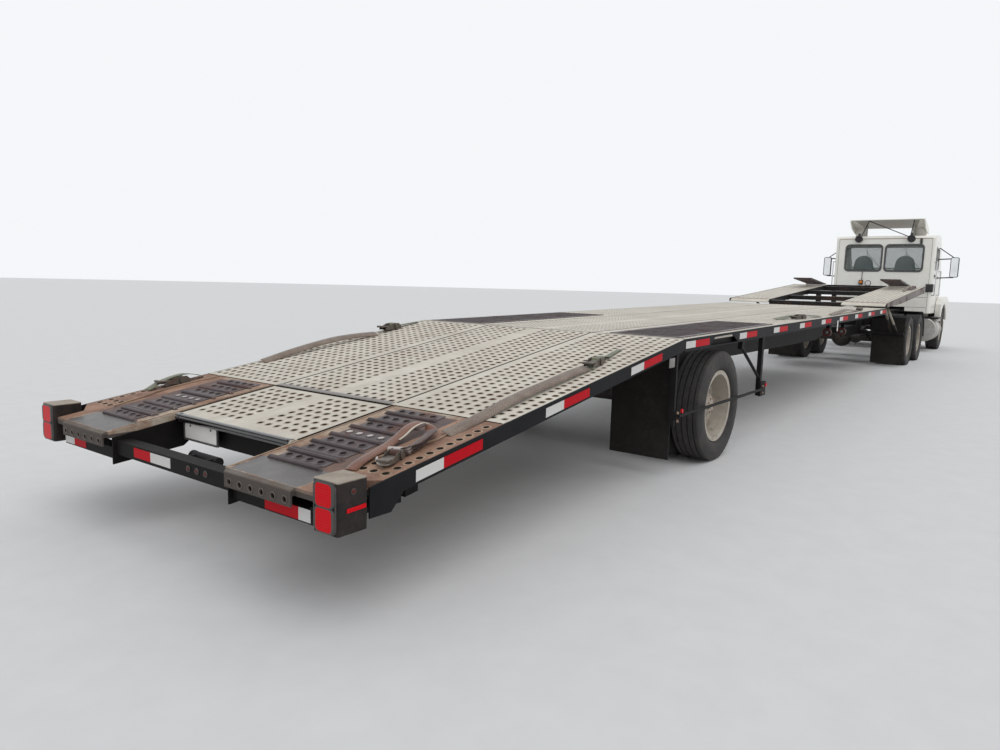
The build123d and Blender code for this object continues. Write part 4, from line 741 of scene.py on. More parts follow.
tape_end = 11.28


def tape(mesh, d0, d1, finish):
    """A length of tape on the left rail's face, following the deck line."""
    y = rail_y + 0.0002
    top0, top1 = deck_z(d0) - tape_drop, deck_z(d1) - tape_drop
    slab(mesh, [at(d0, y, top0), at(d1, y, top1), at(d1, y, top1 - tape_height),
                at(d0, y, top0 - tape_height)], (0.0, tape_thickness, 0.0), finish)


tape_mesh = bmesh.new()
for start in tape_starts:
    length = min(1.0, (tape_end - start) / (tape_white + tape_red))
    tape(tape_mesh, start, start + tape_white * length, 1)
    tape(tape_mesh, start + tape_white * length, start + (tape_white + tape_red) * length, 0)
other_side(tape_mesh)
done(tape_mesh, "rail_tape", "trailer", [red_tape, white_tape])


# Frames, rings, nuts and strips that lie on a face
def rounded_loop(plane, centre, size, radius, lift, steps=6):
    """Points around a rectangle with rounded corners; plane gives the axes of width, height and depth."""
    across, upward, outwards = (Vector(axis) for axis in plane)
    points = []
    for step in range(4 * steps):
        quarter, part = divmod(step, steps)
        angle = (quarter + part / max(steps - 1, 1)) * math.pi / 2
        w = (1, -1, -1, 1)[quarter] * (size[0] / 2 - radius) + radius * math.cos(angle)
        h = (1, 1, -1, -1)[quarter] * (size[1] / 2 - radius) + radius * math.sin(angle)
        points.append(Vector(centre) + w * across + h * upward + lift * outwards)
    return points


def pane(mesh, plane, centre, size, corner, depth, finish=0, steps=6):
    """A flat plate with rounded corners."""
    slab(mesh, rounded_loop(plane, centre, size, corner, 0.0, steps), depth * Vector(plane[2]), finish)


def washer(mesh, centre, axis, outer, inner, height, finish=0, sides=24):
    """A ring with rounded edges standing on a face."""
    turn = Matrix.Translation(Vector(centre)) @ Vector(axis).to_track_quat("Z", "Y").to_matrix().to_4x4()
    edge = 0.25 * (outer - inner)
    rings = []
    for radius, lift in ((outer, 0.0), (outer, 0.5 * height), (outer - edge, height), (inner + edge, height),
                         (inner, 0.5 * height), (inner, 0.0)):
        made = bmesh.ops.create_circle(mesh, cap_ends=False, segments=sides, radius=radius,
                                       matrix=turn @ Matrix.Translation((0.0, 0.0, lift)))
        rings.append(made["verts"])
    for lower, upper in zip(rings, rings[1:]):
        for index in range(sides):
            face = mesh.faces.new((lower[index - 1], lower[index], upper[index], upper[index - 1]))
            face.material_index = finish


def rim_strips(mesh, outline, inset, thickness, finish=0):
    """A frame round a four-cornered opening: outline gives its outer corners, in order."""
    middle = sum((Vector(point) for point in outline), Vector()) / len(outline)
    inside = []
    for point in outline:
        gap = middle - Vector(point)
        inward = [math.copysign(inset, part) if abs(part) > 1e-6 else 0.0 for part in gap]
        inside.append(Vector(point) + Vector(inward))
    for index in range(4):
        following = (index + 1) % 4
        slab(mesh, [outline[index], outline[following], inside[following], inside[index]], thickness, finish)


def ring_plate(mesh, plane, centre, outer, inner, corner, depth, finish=0, steps=6):
    """A rectangular frame with rounded corners: outer and inner are (width, height); plane gives the axes of
    width, height and depth."""
    loops = []
    for size, radius, lift in ((outer, corner, 0.0), (outer, corner, depth * 0.7),
                               ((outer[0] - 0.006, outer[1] - 0.006), corner - 0.003, depth),
                               ((inner[0] + 0.004, inner[1] + 0.004), corner * 0.7, depth),
                               (inner, corner * 0.6, depth * 0.6), (inner, corner * 0.6, 0.0)):
        points = rounded_loop(plane, centre, size, radius, lift, steps)
        loops.append([mesh.verts.new(point) for point in points])
    for first, second in zip(loops, loops[1:] + loops[:1]):
        for index in range(4 * steps):
            face = mesh.faces.new((first[index - 1], first[index], second[index], second[index - 1]))
            face.material_index = finish


def nut(mesh, centre, axis, radius=0.016, height=0.02, finish=0):
    """A six-sided nut on its washer."""
    centre, axis = Vector(centre), Vector(axis)
    disc(mesh, centre, axis, height * 0.2, radius * 1.35, 12, finish)
    disc(mesh, centre + axis * height * 0.2, axis, height * 0.8, radius, 6, finish, radius * 0.94)


def deck_strip(mesh, d0, d1, y0, y1, lift, thickness, finish=0, bevel=0.0):
    """A thin plate or strip lying on the trailer's deck."""
    slab(mesh, [at(d, y, deck_z(d) + lift) for d, y in ((d0, y0), (d1, y0), (d1, y1), (d0, y1))],
         (0.0, 0.0, thickness), finish, bevel)


BACKWARD = (-1.0, 0.0, 0.0)
FORWARD = (1.0, 0.0, 0.0)
REAR_FACE = ((0.0, 1.0, 0.0), (0.0, 0.0, 1.0), BACKWARD)
FRONT_FACE = ((0.0, 1.0, 0.0), (0.0, 0.0, 1.0), FORWARD)


# Tail lamps: rubber frames, side marker lamps and side reflectors
lamp_y = rail_y - 0.0735
lamp_heights = (0.502, 0.602)
lamp_mesh = bmesh.new()
for z in lamp_heights:
    ring_plate(lamp_mesh, REAR_FACE, at(0.0098, lamp_y, z), (0.124, 0.103), (0.085, 0.085), 0.026, 0.0097)
ring_plate(lamp_mesh, REAR_FACE, at(0.0098, lamp_y, 0.552), (0.132, 0.209), (0.118, 0.196), 0.026, 0.0055)
other_side(lamp_mesh)
done(lamp_mesh, "lamp_frames", "trailer", [black_plastic])
side_lamp_mesh = bmesh.new()
bar(side_lamp_mesh, at(0.088, 1.2952, 0.613), at(0.088, 1.2978, 0.613), 0.0135, sides=20, finish=1)
bar(side_lamp_mesh, at(0.088, 1.2978, 0.613), at(0.088, 1.3005, 0.613), 0.010, sides=20, tip=0.008)
# The side reflectors take the red lens finish; its faint glow on them is painted light.
slab(side_lamp_mesh, [at(0.054, 1.2952, 0.531), at(0.154, 1.2952, 0.534), at(0.154, 1.2952, 0.552),
                      at(0.054, 1.2952, 0.549)], (0.0, 0.003, 0.0), 2, 0.001)
other_side(side_lamp_mesh)
done(side_lamp_mesh, "side_lamps_rear", "trailer", [marker_lens, black_plastic, red_lens])

# Rear bumper: tape, small lamps, blank plate and the tube behind
bumper_face = rear + 0.0598
bumper_mesh = bmesh.new()


def face_tape(mesh, y0, y1, z0, z1, finish):
    slab(mesh, [(bumper_face, y0, z0), (bumper_face, y1, z0), (bumper_face, y1, z1), (bumper_face, y0, z1)],
         (-0.0012, 0.0, 0.0), finish)


face_tape(bumper_mesh, 0.175, 0.340, 0.481, 0.531, 0)
face_tape(bumper_mesh, -0.012, 0.175, 0.481, 0.531, 1)
for y0, y1, finish in ((-0.996, -0.770, 0), (-1.073, -0.996, 1), (0.876, 1.015, 0), (1.015, 1.128, 1)):
    face_tape(bumper_mesh, y0, y1, 0.441, 0.4955, finish)
done(bumper_mesh, "bumper_tape", "trailer", [red_tape, white_tape])
small_mesh = bmesh.new()
for y in (-0.173, -0.246, -0.319):
    washer(small_mesh, (bumper_face, y, 0.509), BACKWARD, 0.0165, 0.010, 0.004, 1)
    bar(small_mesh, (bumper_face, y, 0.509), (bumper_face - 0.006, y, 0.509), 0.011, sides=20, tip=0.008)
done(small_mesh, "bumper_lamps", "trailer", [marker_lens, black_plastic])
plate_mesh = bmesh.new()
brick(plate_mesh, at(0.408, 0.139, 0.512), at(0.4095, 0.453, 0.600), 0.0006, 0)
ring_plate(plate_mesh, REAR_FACE, at(0.4085, 0.296, 0.556), (0.334, 0.106), (0.310, 0.084), 0.012, 0.004, 1)
brick(plate_mesh, at(0.4105, 0.129, 0.503), at(0.416, 0.463, 0.609), 0.002, 1)
brick(plate_mesh, at(0.411, 0.17, 0.58), at(0.419, 0.42, 0.622), 0.002, 1)
for y in (0.196, 0.396):
    nut(plate_mesh, at(0.4079, y, 0.588), BACKWARD, 0.005, 0.003, 1)
done(plate_mesh, "blank_plate", "trailer", [plate_white, black_plastic])
stub_mesh = bmesh.new()
bar(stub_mesh, at(0.205, 0.026, 0.515), at(0.205, -0.20, 0.515), 0.026, sides=24)
bar(stub_mesh, at(0.205, 0.030, 0.515), at(0.205, 0.02, 0.515), 0.0285, sides=24)
for y in (-0.03, -0.17):
    brick(stub_mesh, at(0.138, y - 0.006, 0.495), at(0.20, y + 0.006, 0.535), 0.002)
done(stub_mesh, "bumper_tube", "trailer", [frame_paint])

# Rear tracks: dark plates with pressed holes between the bars, bent bar ends and seams
bar_stations = (0.205, 0.310, 0.330, 0.445, 0.560, 0.690, 0.810, 0.940)
plate_rows = (0.388, 0.503, 0.623, 0.759, 0.872, 0.99, 0.262)
pale_row = 0.623
rear_mesh = bmesh.new()
for d in plate_rows:
    reach = 0.030 if d < 0.3 else 0.044
    deck_strip(rear_mesh, d - reach, d + reach, 0.632, 0.948, 0.0004, 0.0035, bevel=0.0012)
    for y in (0.675, 0.745, 0.82, 0.895):
        # The holes' bottoms are painted shade, save one row which is pale.
        pressed_hole(rear_mesh, at(d, y, deck_z(d) + 0.0042), deck_rear_slope, 12, 0.0165, 0.004,
                     2 if d == pale_row else 1)
for d in bar_stations:
    z = deck_z(d) + 0.004
    bar(rear_mesh, at(d, 0.614, z), at(d, 0.952, z), 0.0128, sides=10)
    for y0, y1 in ((0.618, 0.597), (0.948, 0.969)):
        bar(rear_mesh, at(d, y0, z + 0.001), at(d, y1, z - 0.012), 0.0125, sides=10, tip=0.010)
other_side(rear_mesh)
done(rear_mesh, "rear_traction_plates", "trailer", [traction_steel, hole_shadow, pale_steel])
lip_mesh = bmesh.new()
for corners in (((0.30, 1.038), (0.74, 1.150), (0.74, 1.158), (0.30, 1.046)),
                ((0.74, 1.150), (1.06, 1.121), (1.06, 1.129), (0.74, 1.158))):
    slab(lip_mesh, [at(d, y, deck_z(d) + 0.0003) for d, y in corners], (0.0, 0.0, 0.009), 0, 0.002)
deck_strip(lip_mesh, 0.05, 1.06, 0.545, 0.552, 0.0003, 0.004, bevel=0.001)
other_side(lip_mesh)
done(lip_mesh, "track_lips", "trailer", [rusty_steel])
seam_mesh = bmesh.new()
deck_strip(seam_mesh, 1.070, 1.106, -0.507, 0.507, 0.0042, 0.0025)
# Painted shade: thin dark strips along both edges of the raised band.
deck_strip(seam_mesh, 1.0665, 1.070, -1.28, 1.28, 0.0003, 0.0032, 1)
deck_strip(seam_mesh, 1.106, 1.1095, -1.28, 1.28, 0.0003, 0.0030, 1)
# Painted shade: thin dark strips along the gaps between the deck panels.
gap_shade_strips = [(1.052, 1.0665, -0.507, 0.507), (3.2635, 3.2695, -1.285, 1.285),
              (3.2705, 3.2765, -1.285, 1.285)]
for side in (-1, 1):
    gap_shade_strips += [(1.11, 3.268, side * 0.5035, side * 0.5175), (3.272, 11.27, side * 0.5035, side * 0.5175),
                   (0.425, 1.066, side * 0.5150, side * 0.5365)]
for seam in gap_shade_strips:
    deck_strip(seam_mesh, *seam, 0.0003, 0.0006, 1)
done(seam_mesh, "deck_seams_and_gap_shade", "trailer", [galvanised, hole_shadow])
rod_mesh = bmesh.new()
tube_d = 0.405
tube_z = deck_z(tube_d) - 0.018
rod_d = 0.383
rod_z = deck_z(rod_d) + 0.004
bar(rod_mesh, at(tube_d, -0.502, tube_z), at(tube_d, 0.502, tube_z), 0.0235, sides=32)
for y in (-0.505, 0.475):
    bar(rod_mesh, at(tube_d, y, tube_z), at(tube_d, y + 0.03, tube_z), 0.0255, sides=24)
bar(rod_mesh, at(rod_d, -0.50, rod_z), at(rod_d, 0.50, rod_z), 0.0055, sides=10)
done(rod_mesh, "panel_tube_sleeve", "trailer", [gloss_black])
eye_mesh = bmesh.new()
for step in range(6):
    y = 0.558 + (step + 0.5) * (1.020 - 0.558) / 6
    washer(eye_mesh, at(0.0021, y, deck_z(0.0) - 0.048), BACKWARD, 0.0185, 0.0125, 0.0032)
other_side(eye_mesh)
done(eye_mesh, "end_plate_eyes", "trailer", [dark_steel])


# Load straps on the trailer, and their ratchets
def smooth_path(points, steps=8):
    """A smooth line through points: Catmull-Rom between each pair."""
    points = [Vector(point) for point in points]
    line = []
    for index in range(len(points) - 1):
        before = points[max(index - 1, 0)]
        first, second = points[index], points[index + 1]
        after = points[min(index + 2, len(points) - 1)]
        for step in range(steps):
            t = step / steps
            line.append(0.5 * (2 * first + (second - before) * t
                               + (2 * before - 5 * first + 4 * second - after) * t * t
                               + (3 * first - before - 3 * second + after) * t ** 3))
    line.append(points[-1])
    return line


def on_deck(points, height=deck_z):
    """Points lying on a deck, each given as distance forward, y and lift."""
    return [at(d, y, height(d) + 0.004 + lift) for d, y, lift in points]


def strap(name, body, points, width, finish, edge_on=0.0):
    """Webbing laid along points; edge_on tips it up about its own line, in degrees."""
    line = smooth_path(points)
    mesh = bmesh.new()
    rows = []
    for index, point in enumerate(line):
        ahead = (line[min(index + 1, len(line) - 1)] - line[max(index - 1, 0)]).normalized()
        side = ahead.cross(Vector((0.0, 0.0, 1.0)))
        if side.length < 0.2:
            side = Vector((0.0, 1.0, 0.0))
        side = Matrix.Rotation(math.radians(edge_on), 3, ahead) @ side.normalized()
        crown = 0.0012 * side.cross(ahead).normalized()
        rows.append([mesh.verts.new(point + part * width * side + lift * crown)
                     for part, lift in ((-1 / 2, 0), (-1 / 6, 1), (1 / 6, 1), (1 / 2, 0))])
    for first, second in zip(rows, rows[1:]):
        for place in range(3):
            mesh.faces.new((first[place], first[place + 1], second[place + 1], second[place]))
    piece = done(mesh, name, body, [finish], smooth=60.0)
    thick = piece.modifiers.new("thick", "SOLIDIFY")
    thick.thickness = 0.0026
    thick.offset = 0.0
    applied(piece)


def trailer_strap(name, width, finish, points, edge_on=0.0):
    strap(name, "trailer", on_deck(points), width, finish, edge_on)


def tractor_strap(name, width, finish, points, edge_on):
    strap(name, "tractor", on_deck(points, tractor_deck_z), width, finish, edge_on)


def ratchet(name, d, y, heading, finish, scale=1.0, body="trailer", height=deck_z):
    """A load-strap ratchet lying on the deck: two cheeks, a lever with its grip and a wound drum."""
    mesh = bmesh.new()
    for cheek in (-0.032, 0.032):
        slab(mesh, [(x, cheek, z) for x, z in ((-0.11, 0.004), (0.07, 0.004), (0.09, 0.025), (0.05, 0.055),
                                               (-0.03, 0.05), (-0.11, 0.018))], (0.0, 0.003, 0.0), 0, 0.0008)
    for y0, y1, radius, sides, part in ((-0.036, 0.036, 0.011, 14, 0), (-0.026, 0.026, 0.026, 20, 1),
                                        (-0.041, -0.036, 0.024, 14, 0), (0.036, 0.041, 0.024, 14, 0)):
        bar(mesh, (0.02, y0, 0.03), (0.02, y1, 0.03), radius, sides, part)
    brick(mesh, (-0.13, -0.03, 0.026), (-0.02, 0.03, 0.032), 0.002)
    brick(mesh, (-0.145, -0.034, 0.022), (-0.12, 0.034, 0.037), 0.005)
    turn = Matrix.Translation(at(d, y, height(d))) @ Matrix.Rotation(math.radians(heading), 4, "Z")
    bmesh.ops.transform(mesh, matrix=turn @ Matrix.Scale(scale, 4), verts=mesh.verts[:])
    done(mesh, name, body, [dark_steel, finish])


trailer_strap("strap_rear_right", 0.060, orange_strap,
              [(0.262, -1.083, 0.0), (0.34, -1.066, 0.012), (0.45, -1.046, 0.014), (0.55, -1.028, 0.018),
               (0.63, -1.014, 0.030), (0.695, -1.006, 0.048), (0.755, -1.010, 0.054), (0.795, -1.028, 0.038),
               (0.796, -1.056, 0.018), (0.755, -1.090, 0.008), (0.69, -1.115, 0.004)])
# A thin pale strip along the top of the coil: a painted highlight on its rolled edge.
trailer_strap("strap_rear_right_edge_highlight", 0.011, strap_edge_highlight,
              [(0.585, -1.052, 0.028), (0.63, -1.046, 0.034), (0.695, -1.039, 0.052), (0.752, -1.042, 0.057),
               (0.786, -1.054, 0.046)])
folds = ((0.0, 0.010, 0.0), (0.012, 0.024, 0.014), (0.026, 0.038, 0.030))
for index, (reach, lift, turn) in enumerate(folds):
    trailer_strap(f"strap_rear_right_fold_{index}", 0.055, dark_strap,
                  [(0.755 - reach, -1.080 - turn, lift), (0.70, -1.115 - turn, lift + 0.004),
                   (0.62, -1.150 - turn * 0.5, lift), (0.53 + reach, -1.165 - turn * 0.3, lift - 0.004),
                   (0.47 + reach, -1.155, lift - 0.006)], 14.0)
hook_mesh = bmesh.new()
bar(hook_mesh, *on_deck([(0.492, -1.078, 0.018), (0.520, -1.168, 0.020)]), 0.0125, sides=16)
bar(hook_mesh, *on_deck([(0.519, -1.165, 0.020), (0.524, -1.182, 0.020)]), 0.017, sides=16)
hook_line = smooth_path(on_deck([(0.40, -1.10, 0.012), (0.37, -1.13, 0.014), (0.345, -1.17, 0.014),
                                 (0.355, -1.20, 0.012), (0.385, -1.205, 0.012)]), 5)
for first, second in zip(hook_line, hook_line[1:]):
    bar(hook_mesh, first, second, 0.006, sides=8)
done(hook_mesh, "strap_hook", "trailer", [pale_steel])
ratchet("ratchet_rear_right", 0.44, -1.165, 20.0, dark_strap, 0.85)
trailer_strap("strap_side_right", 0.066, brown_strap,
              [(0.80, -1.150, 0.006), (1.00, -1.152, 0.012), (1.20, -1.140, 0.020), (1.45, -1.128, 0.026),
               (1.80, -1.125, 0.026), (2.00, -1.12, 0.024), (2.17, -1.115, 0.016)], 20.0)
trailer_strap("strap_side_right_end", 0.038, green_strap,
              [(2.48, -1.075, 0.010), (2.58, -1.055, 0.006), (2.68, -1.04, 0.004), (2.76, -1.03, 0.003)])
trailer_strap("strap_side_right_bundle", 0.055, green_strap,
              [(2.18, -1.13, 0.006), (2.28, -1.105, 0.030), (2.38, -1.085, 0.036), (2.46, -1.07, 0.022),
               (2.53, -1.06, 0.006)])
ratchet("ratchet_right", 2.30, -1.10, 8.0, green_strap)
trailer_strap("strap_side_left", 0.066, brown_strap,
              [(1.46, 1.20, 0.004), (1.75, 1.195, 0.030), (2.10, 1.185, 0.044), (2.35, 1.17, 0.032),
               (2.55, 1.155, 0.012)], 26.0)
trailer_strap("strap_side_left_end", 0.045, green_strap,
              [(2.70, 1.215, 0.010), (2.85, 1.235, 0.020), (3.00, 1.245, 0.012), (3.15, 1.25, 0.004)])
ratchet("ratchet_left", 2.80, 1.225, 6.0, green_strap, 1.1)
trailer_strap("strap_tail_left", 0.062, green_strap,
              [(0.60, 1.225, 0.004), (0.72, 1.235, 0.040), (0.84, 1.225, 0.052), (0.93, 1.235, 0.030),
               (0.99, 1.24, 0.006)])
ratchet("ratchet_tail_left", 0.80, 1.215, 3.0, green_strap)
trailer_strap("strap_front_right", 0.060, green_strap,
              [(6.35, -1.02, 0.004), (6.60, -1.06, 0.020), (6.90, -1.13, 0.034), (7.20, -1.18, 0.020),
               (7.50, -1.20, 0.004)], 16.0)
ratchet("ratchet_front_right", 6.78, -1.16, -18.0, green_strap)
trailer_strap("strap_front_right_far", 0.060, brown_strap,
              [(7.95, -1.22, 0.004), (8.40, -1.21, 0.024), (8.90, -1.20, 0.040), (9.30, -1.19, 0.024),
               (9.70, -1.18, 0.004)], 18.0)
ratchet("ratchet_front_right_far", 9.85, -1.18, 5.0, brown_strap)
tractor_strap("strap_tractor_right", 0.066, brown_strap,
              [(14.10, -1.12, 0.003), (14.40, -1.11, 0.030), (14.70, -1.105, 0.050), (15.00, -1.12, 0.030),
               (15.25, -1.13, 0.003)], 20.0)
tractor_strap("strap_tractor_right_end", 0.060, dark_strap,
              [(14.45, -1.165, 0.003), (14.65, -1.19, 0.045), (14.85, -1.185, 0.060), (15.05, -1.17, 0.003)],
              10.0)
ratchet("ratchet_tractor_right", 14.72, -1.115, 4.0, dark_strap, 0.9, "tractor", tractor_deck_z)

# Marker lamps, hanging plates and posts under the side rail
rail_mesh = bmesh.new()
for d, z in ((7.79, 0.917), (8.58, 0.896)):
    bar(rail_mesh, at(d, 1.235, z), at(d - 0.022, 1.235, z), 0.050, sides=28, finish=1)
    washer(rail_mesh, at(d - 0.022, 1.235, z), BACKWARD, 0.049, 0.033, 0.010)
    bar(rail_mesh, at(d - 0.022, 1.235, z), at(d - 0.028, 1.235, z), 0.017, sides=20, tip=0.012, finish=3)
    brick(rail_mesh, at(d, 1.215, z - 0.03), at(d + 0.006, 1.255, deck_z(d) - 0.074), 0.002, 2)
other_side(rail_mesh)
done(rail_mesh, "rail_markers", "trailer", [marker_lens, black_plastic, rail_paint, galvanised])
hang_mesh = bmesh.new()
brick(hang_mesh, at(7.985, 1.2955, 0.925), at(8.025, 1.3005, 1.058), 0.0015)
brick(hang_mesh, at(3.01, 1.289, 0.86), at(3.10, 1.2945, deck_z(3.0) - 0.086), 0.002, 1)
other_side(hang_mesh)
done(hang_mesh, "rail_brackets", "trailer", [plate_white, galvanised])
guard_mesh = bmesh.new()
for d in (3.18, 5.15):
    bar(guard_mesh, at(d + 0.05, 1.309, 0.53), at(d + 0.05, 1.319, 0.53), 0.016, sides=18)
    for z in (0.46, 0.52):
        nut(guard_mesh, at(d, 1.3005, z), (0.0, 1.0, 0.0), 0.009, 0.009, 1)
other_side(guard_mesh)
done(guard_mesh, "guard_lamps", "trailer", [red_lens, rusty_steel])


# Road wheels: tyres with ribs, grooves and lugs, and dressed rims
def tyre_piece(name, body, replaced, axle, centres, radius, width, lugs):
    """Tyres with a rounded side wall, raised rings, four grooves and, on driven wheels, tread blocks."""
    mesh = bmesh.new()
    half = width / 2
    z = radius
    wall = ((0.66, 0.276), (0.66, 0.298), (0.78, 0.303), (0.90, 0.315), (0.965, 0.335), (0.985, 0.345),
            (0.985, 0.352), (1.0, 0.356))
    outer_wall = ((0.998, radius - 0.072), (0.985, radius - 0.066), (0.985, radius - 0.056),
                  (0.97, radius - 0.050), (0.935, radius - 0.026), (0.90, radius - 0.020),
                  (0.88, radius - 0.008), (0.80, radius - 0.001))
    grooves = []
    for place in (0.56, 0.19):
        grooves += [(place + 0.045, radius), (place + 0.030, radius - 0.013), (place - 0.030, radius - 0.013),
                    (place - 0.045, radius)]
    right = list(wall) + list(outer_wall) + grooves
    outline = [(y * half, r) for y, r in right] + [(-y * half, r) for y, r in reversed(right)]
    for centre in centres:
        lathe(mesh, outline, at(axle, centre, z), steps=72)
    if lugs:
        count = 54
        for step in range(count):
            angle = 2 * math.pi * step / count
            for side in (-1, 1):
                for centre in centres:
                    made = brick(mesh, (-0.016, side * half * 0.80 - half * 0.16, radius - 0.020),
                                 (0.016, side * half * 0.80 + half * 0.16, radius - 0.0005))
                    turn = Matrix.Rotation(angle + side * 0.02, 4, "Y")
                    bmesh.ops.transform(mesh, matrix=Matrix.Translation(at(axle, centre, z)) @ turn, verts=made)
    piece = done(mesh, name, body, [tyre_rubber], smooth=32.0)
    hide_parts(replaced)


def rim_dress(mesh, axle, z, side, disc_y, face_y, cap_y):
    """Wheel nuts, the hub's flange with its bolts and cap, and the rolled edge of the rim."""
    outwards = Vector((0.0, side, 0.0))
    for step in range(10):
        angle = 2 * math.pi * step / 10
        nut(mesh, at(axle + 0.1425 * math.sin(angle), side * disc_y, z + 0.1425 * math.cos(angle)),
            outwards, 0.017, 0.026, 1)
    for step in range(8):
        angle = 2 * math.pi * (step + 0.5) / 8
        nut(mesh, at(axle + 0.058 * math.sin(angle), side * (cap_y - 0.0002), z + 0.058 * math.cos(angle)),
            outwards, 0.009, 0.012, 1)
    disc(mesh, at(axle, side * (cap_y - 0.004), z), outwards, 0.008, 0.069, 32, 0, 0.066)
    disc(mesh, at(axle, side * (cap_y + 0.004), z), outwards, 0.010, 0.036, 24, 0, 0.030)
    edge = ((-0.006, 0.2935), (0.002, 0.2965), (0.003, 0.2925), (-0.001, 0.281), (-0.008, 0.2768))
    lathe(mesh, [(side * (face_y + y), radius) for y, radius in edge], at(axle, 0.0, z), 64)


for label, axle, radius, width, middles in (
    ("trailer_wheel", trailer_axle, 0.457, 0.255, (0.870, 1.160)),
    ("drive_wheel_rear", rear_drive, 0.480, 0.270, (0.795, 1.100)),
    ("drive_wheel_front", front_drive, 0.480, 0.270, (0.795, 1.100)),
):
    for side, side_name in ((1, "left"), (-1, "right")):
        body = f"{label}_{side_name}"
        tyre_piece(f"{body}_tread", body, f"{body}_tyres", axle, [side * y for y in middles], radius, width,
                   label != "trailer_wheel")
        mesh = bmesh.new()
        rim_dress(mesh, axle, radius, side, (middles[0] + middles[1]) / 2 + 0.0002,
                  middles[1] + width / 2 - 0.029, middles[1] + 0.040)
        done(mesh, f"{body}_nuts", body, [rim_paint, rusty_steel])
for side, side_name in ((1, "left"), (-1, "right")):
    body = f"steer_wheel_{side_name}"
    tyre_piece(f"{body}_tread", body, f"{body}_tyre", steer_axle, [side * 1.060], 0.500, 0.285, False)
    mesh = bmesh.new()
    rim_dress(mesh, steer_axle, 0.500, side, 1.155 + 0.0002, 1.060 + 0.1425 - 0.029, 1.205)
    done(mesh, f"{body}_nuts", body, [rim_paint, bright_metal])

# Tail of the tractor's tracks: pressed eyes along the rear edge
eyes_mesh = bmesh.new()
for step in range(8):
    d, y = 11.515, 0.665 + 0.079 * step
    z = tractor_deck_z(d)
    washer(eyes_mesh, at(d, y, z + 0.0002), (-tractor_deck_slope, 0.0, 1.0), 0.036, 0.023, 0.010)
    # Painted shade: a dark disc in the hole of each eye.
    bar(eyes_mesh, at(d, y, z + 0.0003), at(d, y, z + 0.0012), 0.0235, sides=20, finish=1)
brick(eyes_mesh, at(11.4735, 0.622, 1.190), at(11.4785, 1.252, tractor_deck_z(11.48) + 0.001), 0.001, 2)
for step in range(8):
    y = 0.665 + 0.079 * step
    washer(eyes_mesh, at(11.4736, y, 1.2145), BACKWARD, 0.0225, 0.015, 0.006)
    # Painted shade: a dark disc in the hole of each eye on the rear face.
    bar(eyes_mesh, at(11.4736, y, 1.2145), at(11.4730, y, 1.2145), 0.0155, sides=20, finish=1)
other_side(eyes_mesh)
done(eyes_mesh, "tractor_track_eyes", "tractor", [pale_steel, hole_shadow, rusty_steel])

# Cab back: window rubbers, roof seam, round cover, bracket with its conduit, vent and stays
cab_back = rear + 18.35
cab_half = 1.10
back_mesh = bmesh.new()
for y in (-0.445, 0.445):
    ring_plate(back_mesh, REAR_FACE, (cab_back - 0.0002, y, 2.232), (0.855, 0.670), (0.770, 0.585), 0.100,
               0.011, 0, 8)
done(back_mesh, "rear_window_rubbers", "tractor", [gloss_black])
wall_mesh = bmesh.new()
washer(wall_mesh, (cab_back - 0.0002, 0.293, 1.617), BACKWARD, 0.070, 0.055, 0.012, 1)
bar(wall_mesh, (cab_back - 0.0002, 0.293, 1.617), (cab_back - 0.009, 0.293, 1.617), 0.056, sides=32, finish=0)
brick(wall_mesh, (cab_back - 0.050, 0.405, 1.575), (cab_back - 0.0002, 0.500, 1.690), 0.006, 1)
bar(wall_mesh, (cab_back - 0.050, 0.452, 1.640), (cab_back - 0.068, 0.452, 1.640), 0.036, sides=24,
    finish=2, tip=0.030)
bar(wall_mesh, (cab_back - 0.010, 0.440, 1.685), (cab_back - 0.010, 0.440, 1.905), 0.006, sides=10, finish=1)
for z in (1.72, 1.87):
    brick(wall_mesh, (cab_back - 0.017, 0.428, z), (cab_back - 0.0002, 0.452, z + 0.012), 0.002, 1)
brick(wall_mesh, (cab_back - 0.030, -1.118, 1.434), (cab_back + 0.110, -0.965, 1.623), 0.008, 1)
for step in range(7):
    z = 1.455 + step * 0.023
    brick(wall_mesh, (cab_back - 0.035, -1.104, z), (cab_back - 0.029, -0.979, z + 0.010), 0.002, 1)
brick(wall_mesh, (cab_back - 0.030, -0.812, 2.560), (cab_back - 0.0002, -0.762, 2.690), 0.005, 1)
done(wall_mesh, "rear_wall_fittings", "tractor", [plate_white, black_plastic, amber_lens])
back_seams_and_shade = bmesh.new()
bar(back_seams_and_shade, (cab_back - 0.002, -1.020, 2.700), (cab_back - 0.002, 1.020, 2.700), 0.007, sides=10)
# Dark strips across the back at two heights, and down both rear corners as painted shade where the back turns
# into the sides.
for z in (1.300, 1.062):
    brick(back_seams_and_shade, (cab_back - 0.0015, -1.020, z), (cab_back - 0.0002, 1.020, z + 0.006), 0.0004, 1)
for y in (-1.022, 1.018):
    brick(back_seams_and_shade, (cab_back - 0.0015, y, 0.95), (cab_back - 0.0002, y + 0.005, 2.69), 0.0004, 1)
for y in (-0.012, 0.006):
    brick(back_seams_and_shade, (cab_back - 0.004, y, 1.306), (cab_back - 0.0002, y + 0.006, 2.69), 0.001, 2)
done(back_seams_and_shade, "cab_back_seams_and_corner_shade", "tractor", [rusty_steel, hole_shadow, cab_paint])
stay_mesh = bmesh.new()
for first, second in (((18.300, 0.517, 2.770), (18.400, 0.394, 3.128)),
                      ((18.400, 0.382, 3.128), (18.305, -0.519, 2.738)),
                      ((18.400, -0.592, 3.128), (18.305, -0.546, 2.738))):
    bar(stay_mesh, at(*first), at(*second), 0.010, sides=12)
done(stay_mesh, "deflector_stays", "tractor", [frame_paint])
panel_mesh = bmesh.new()
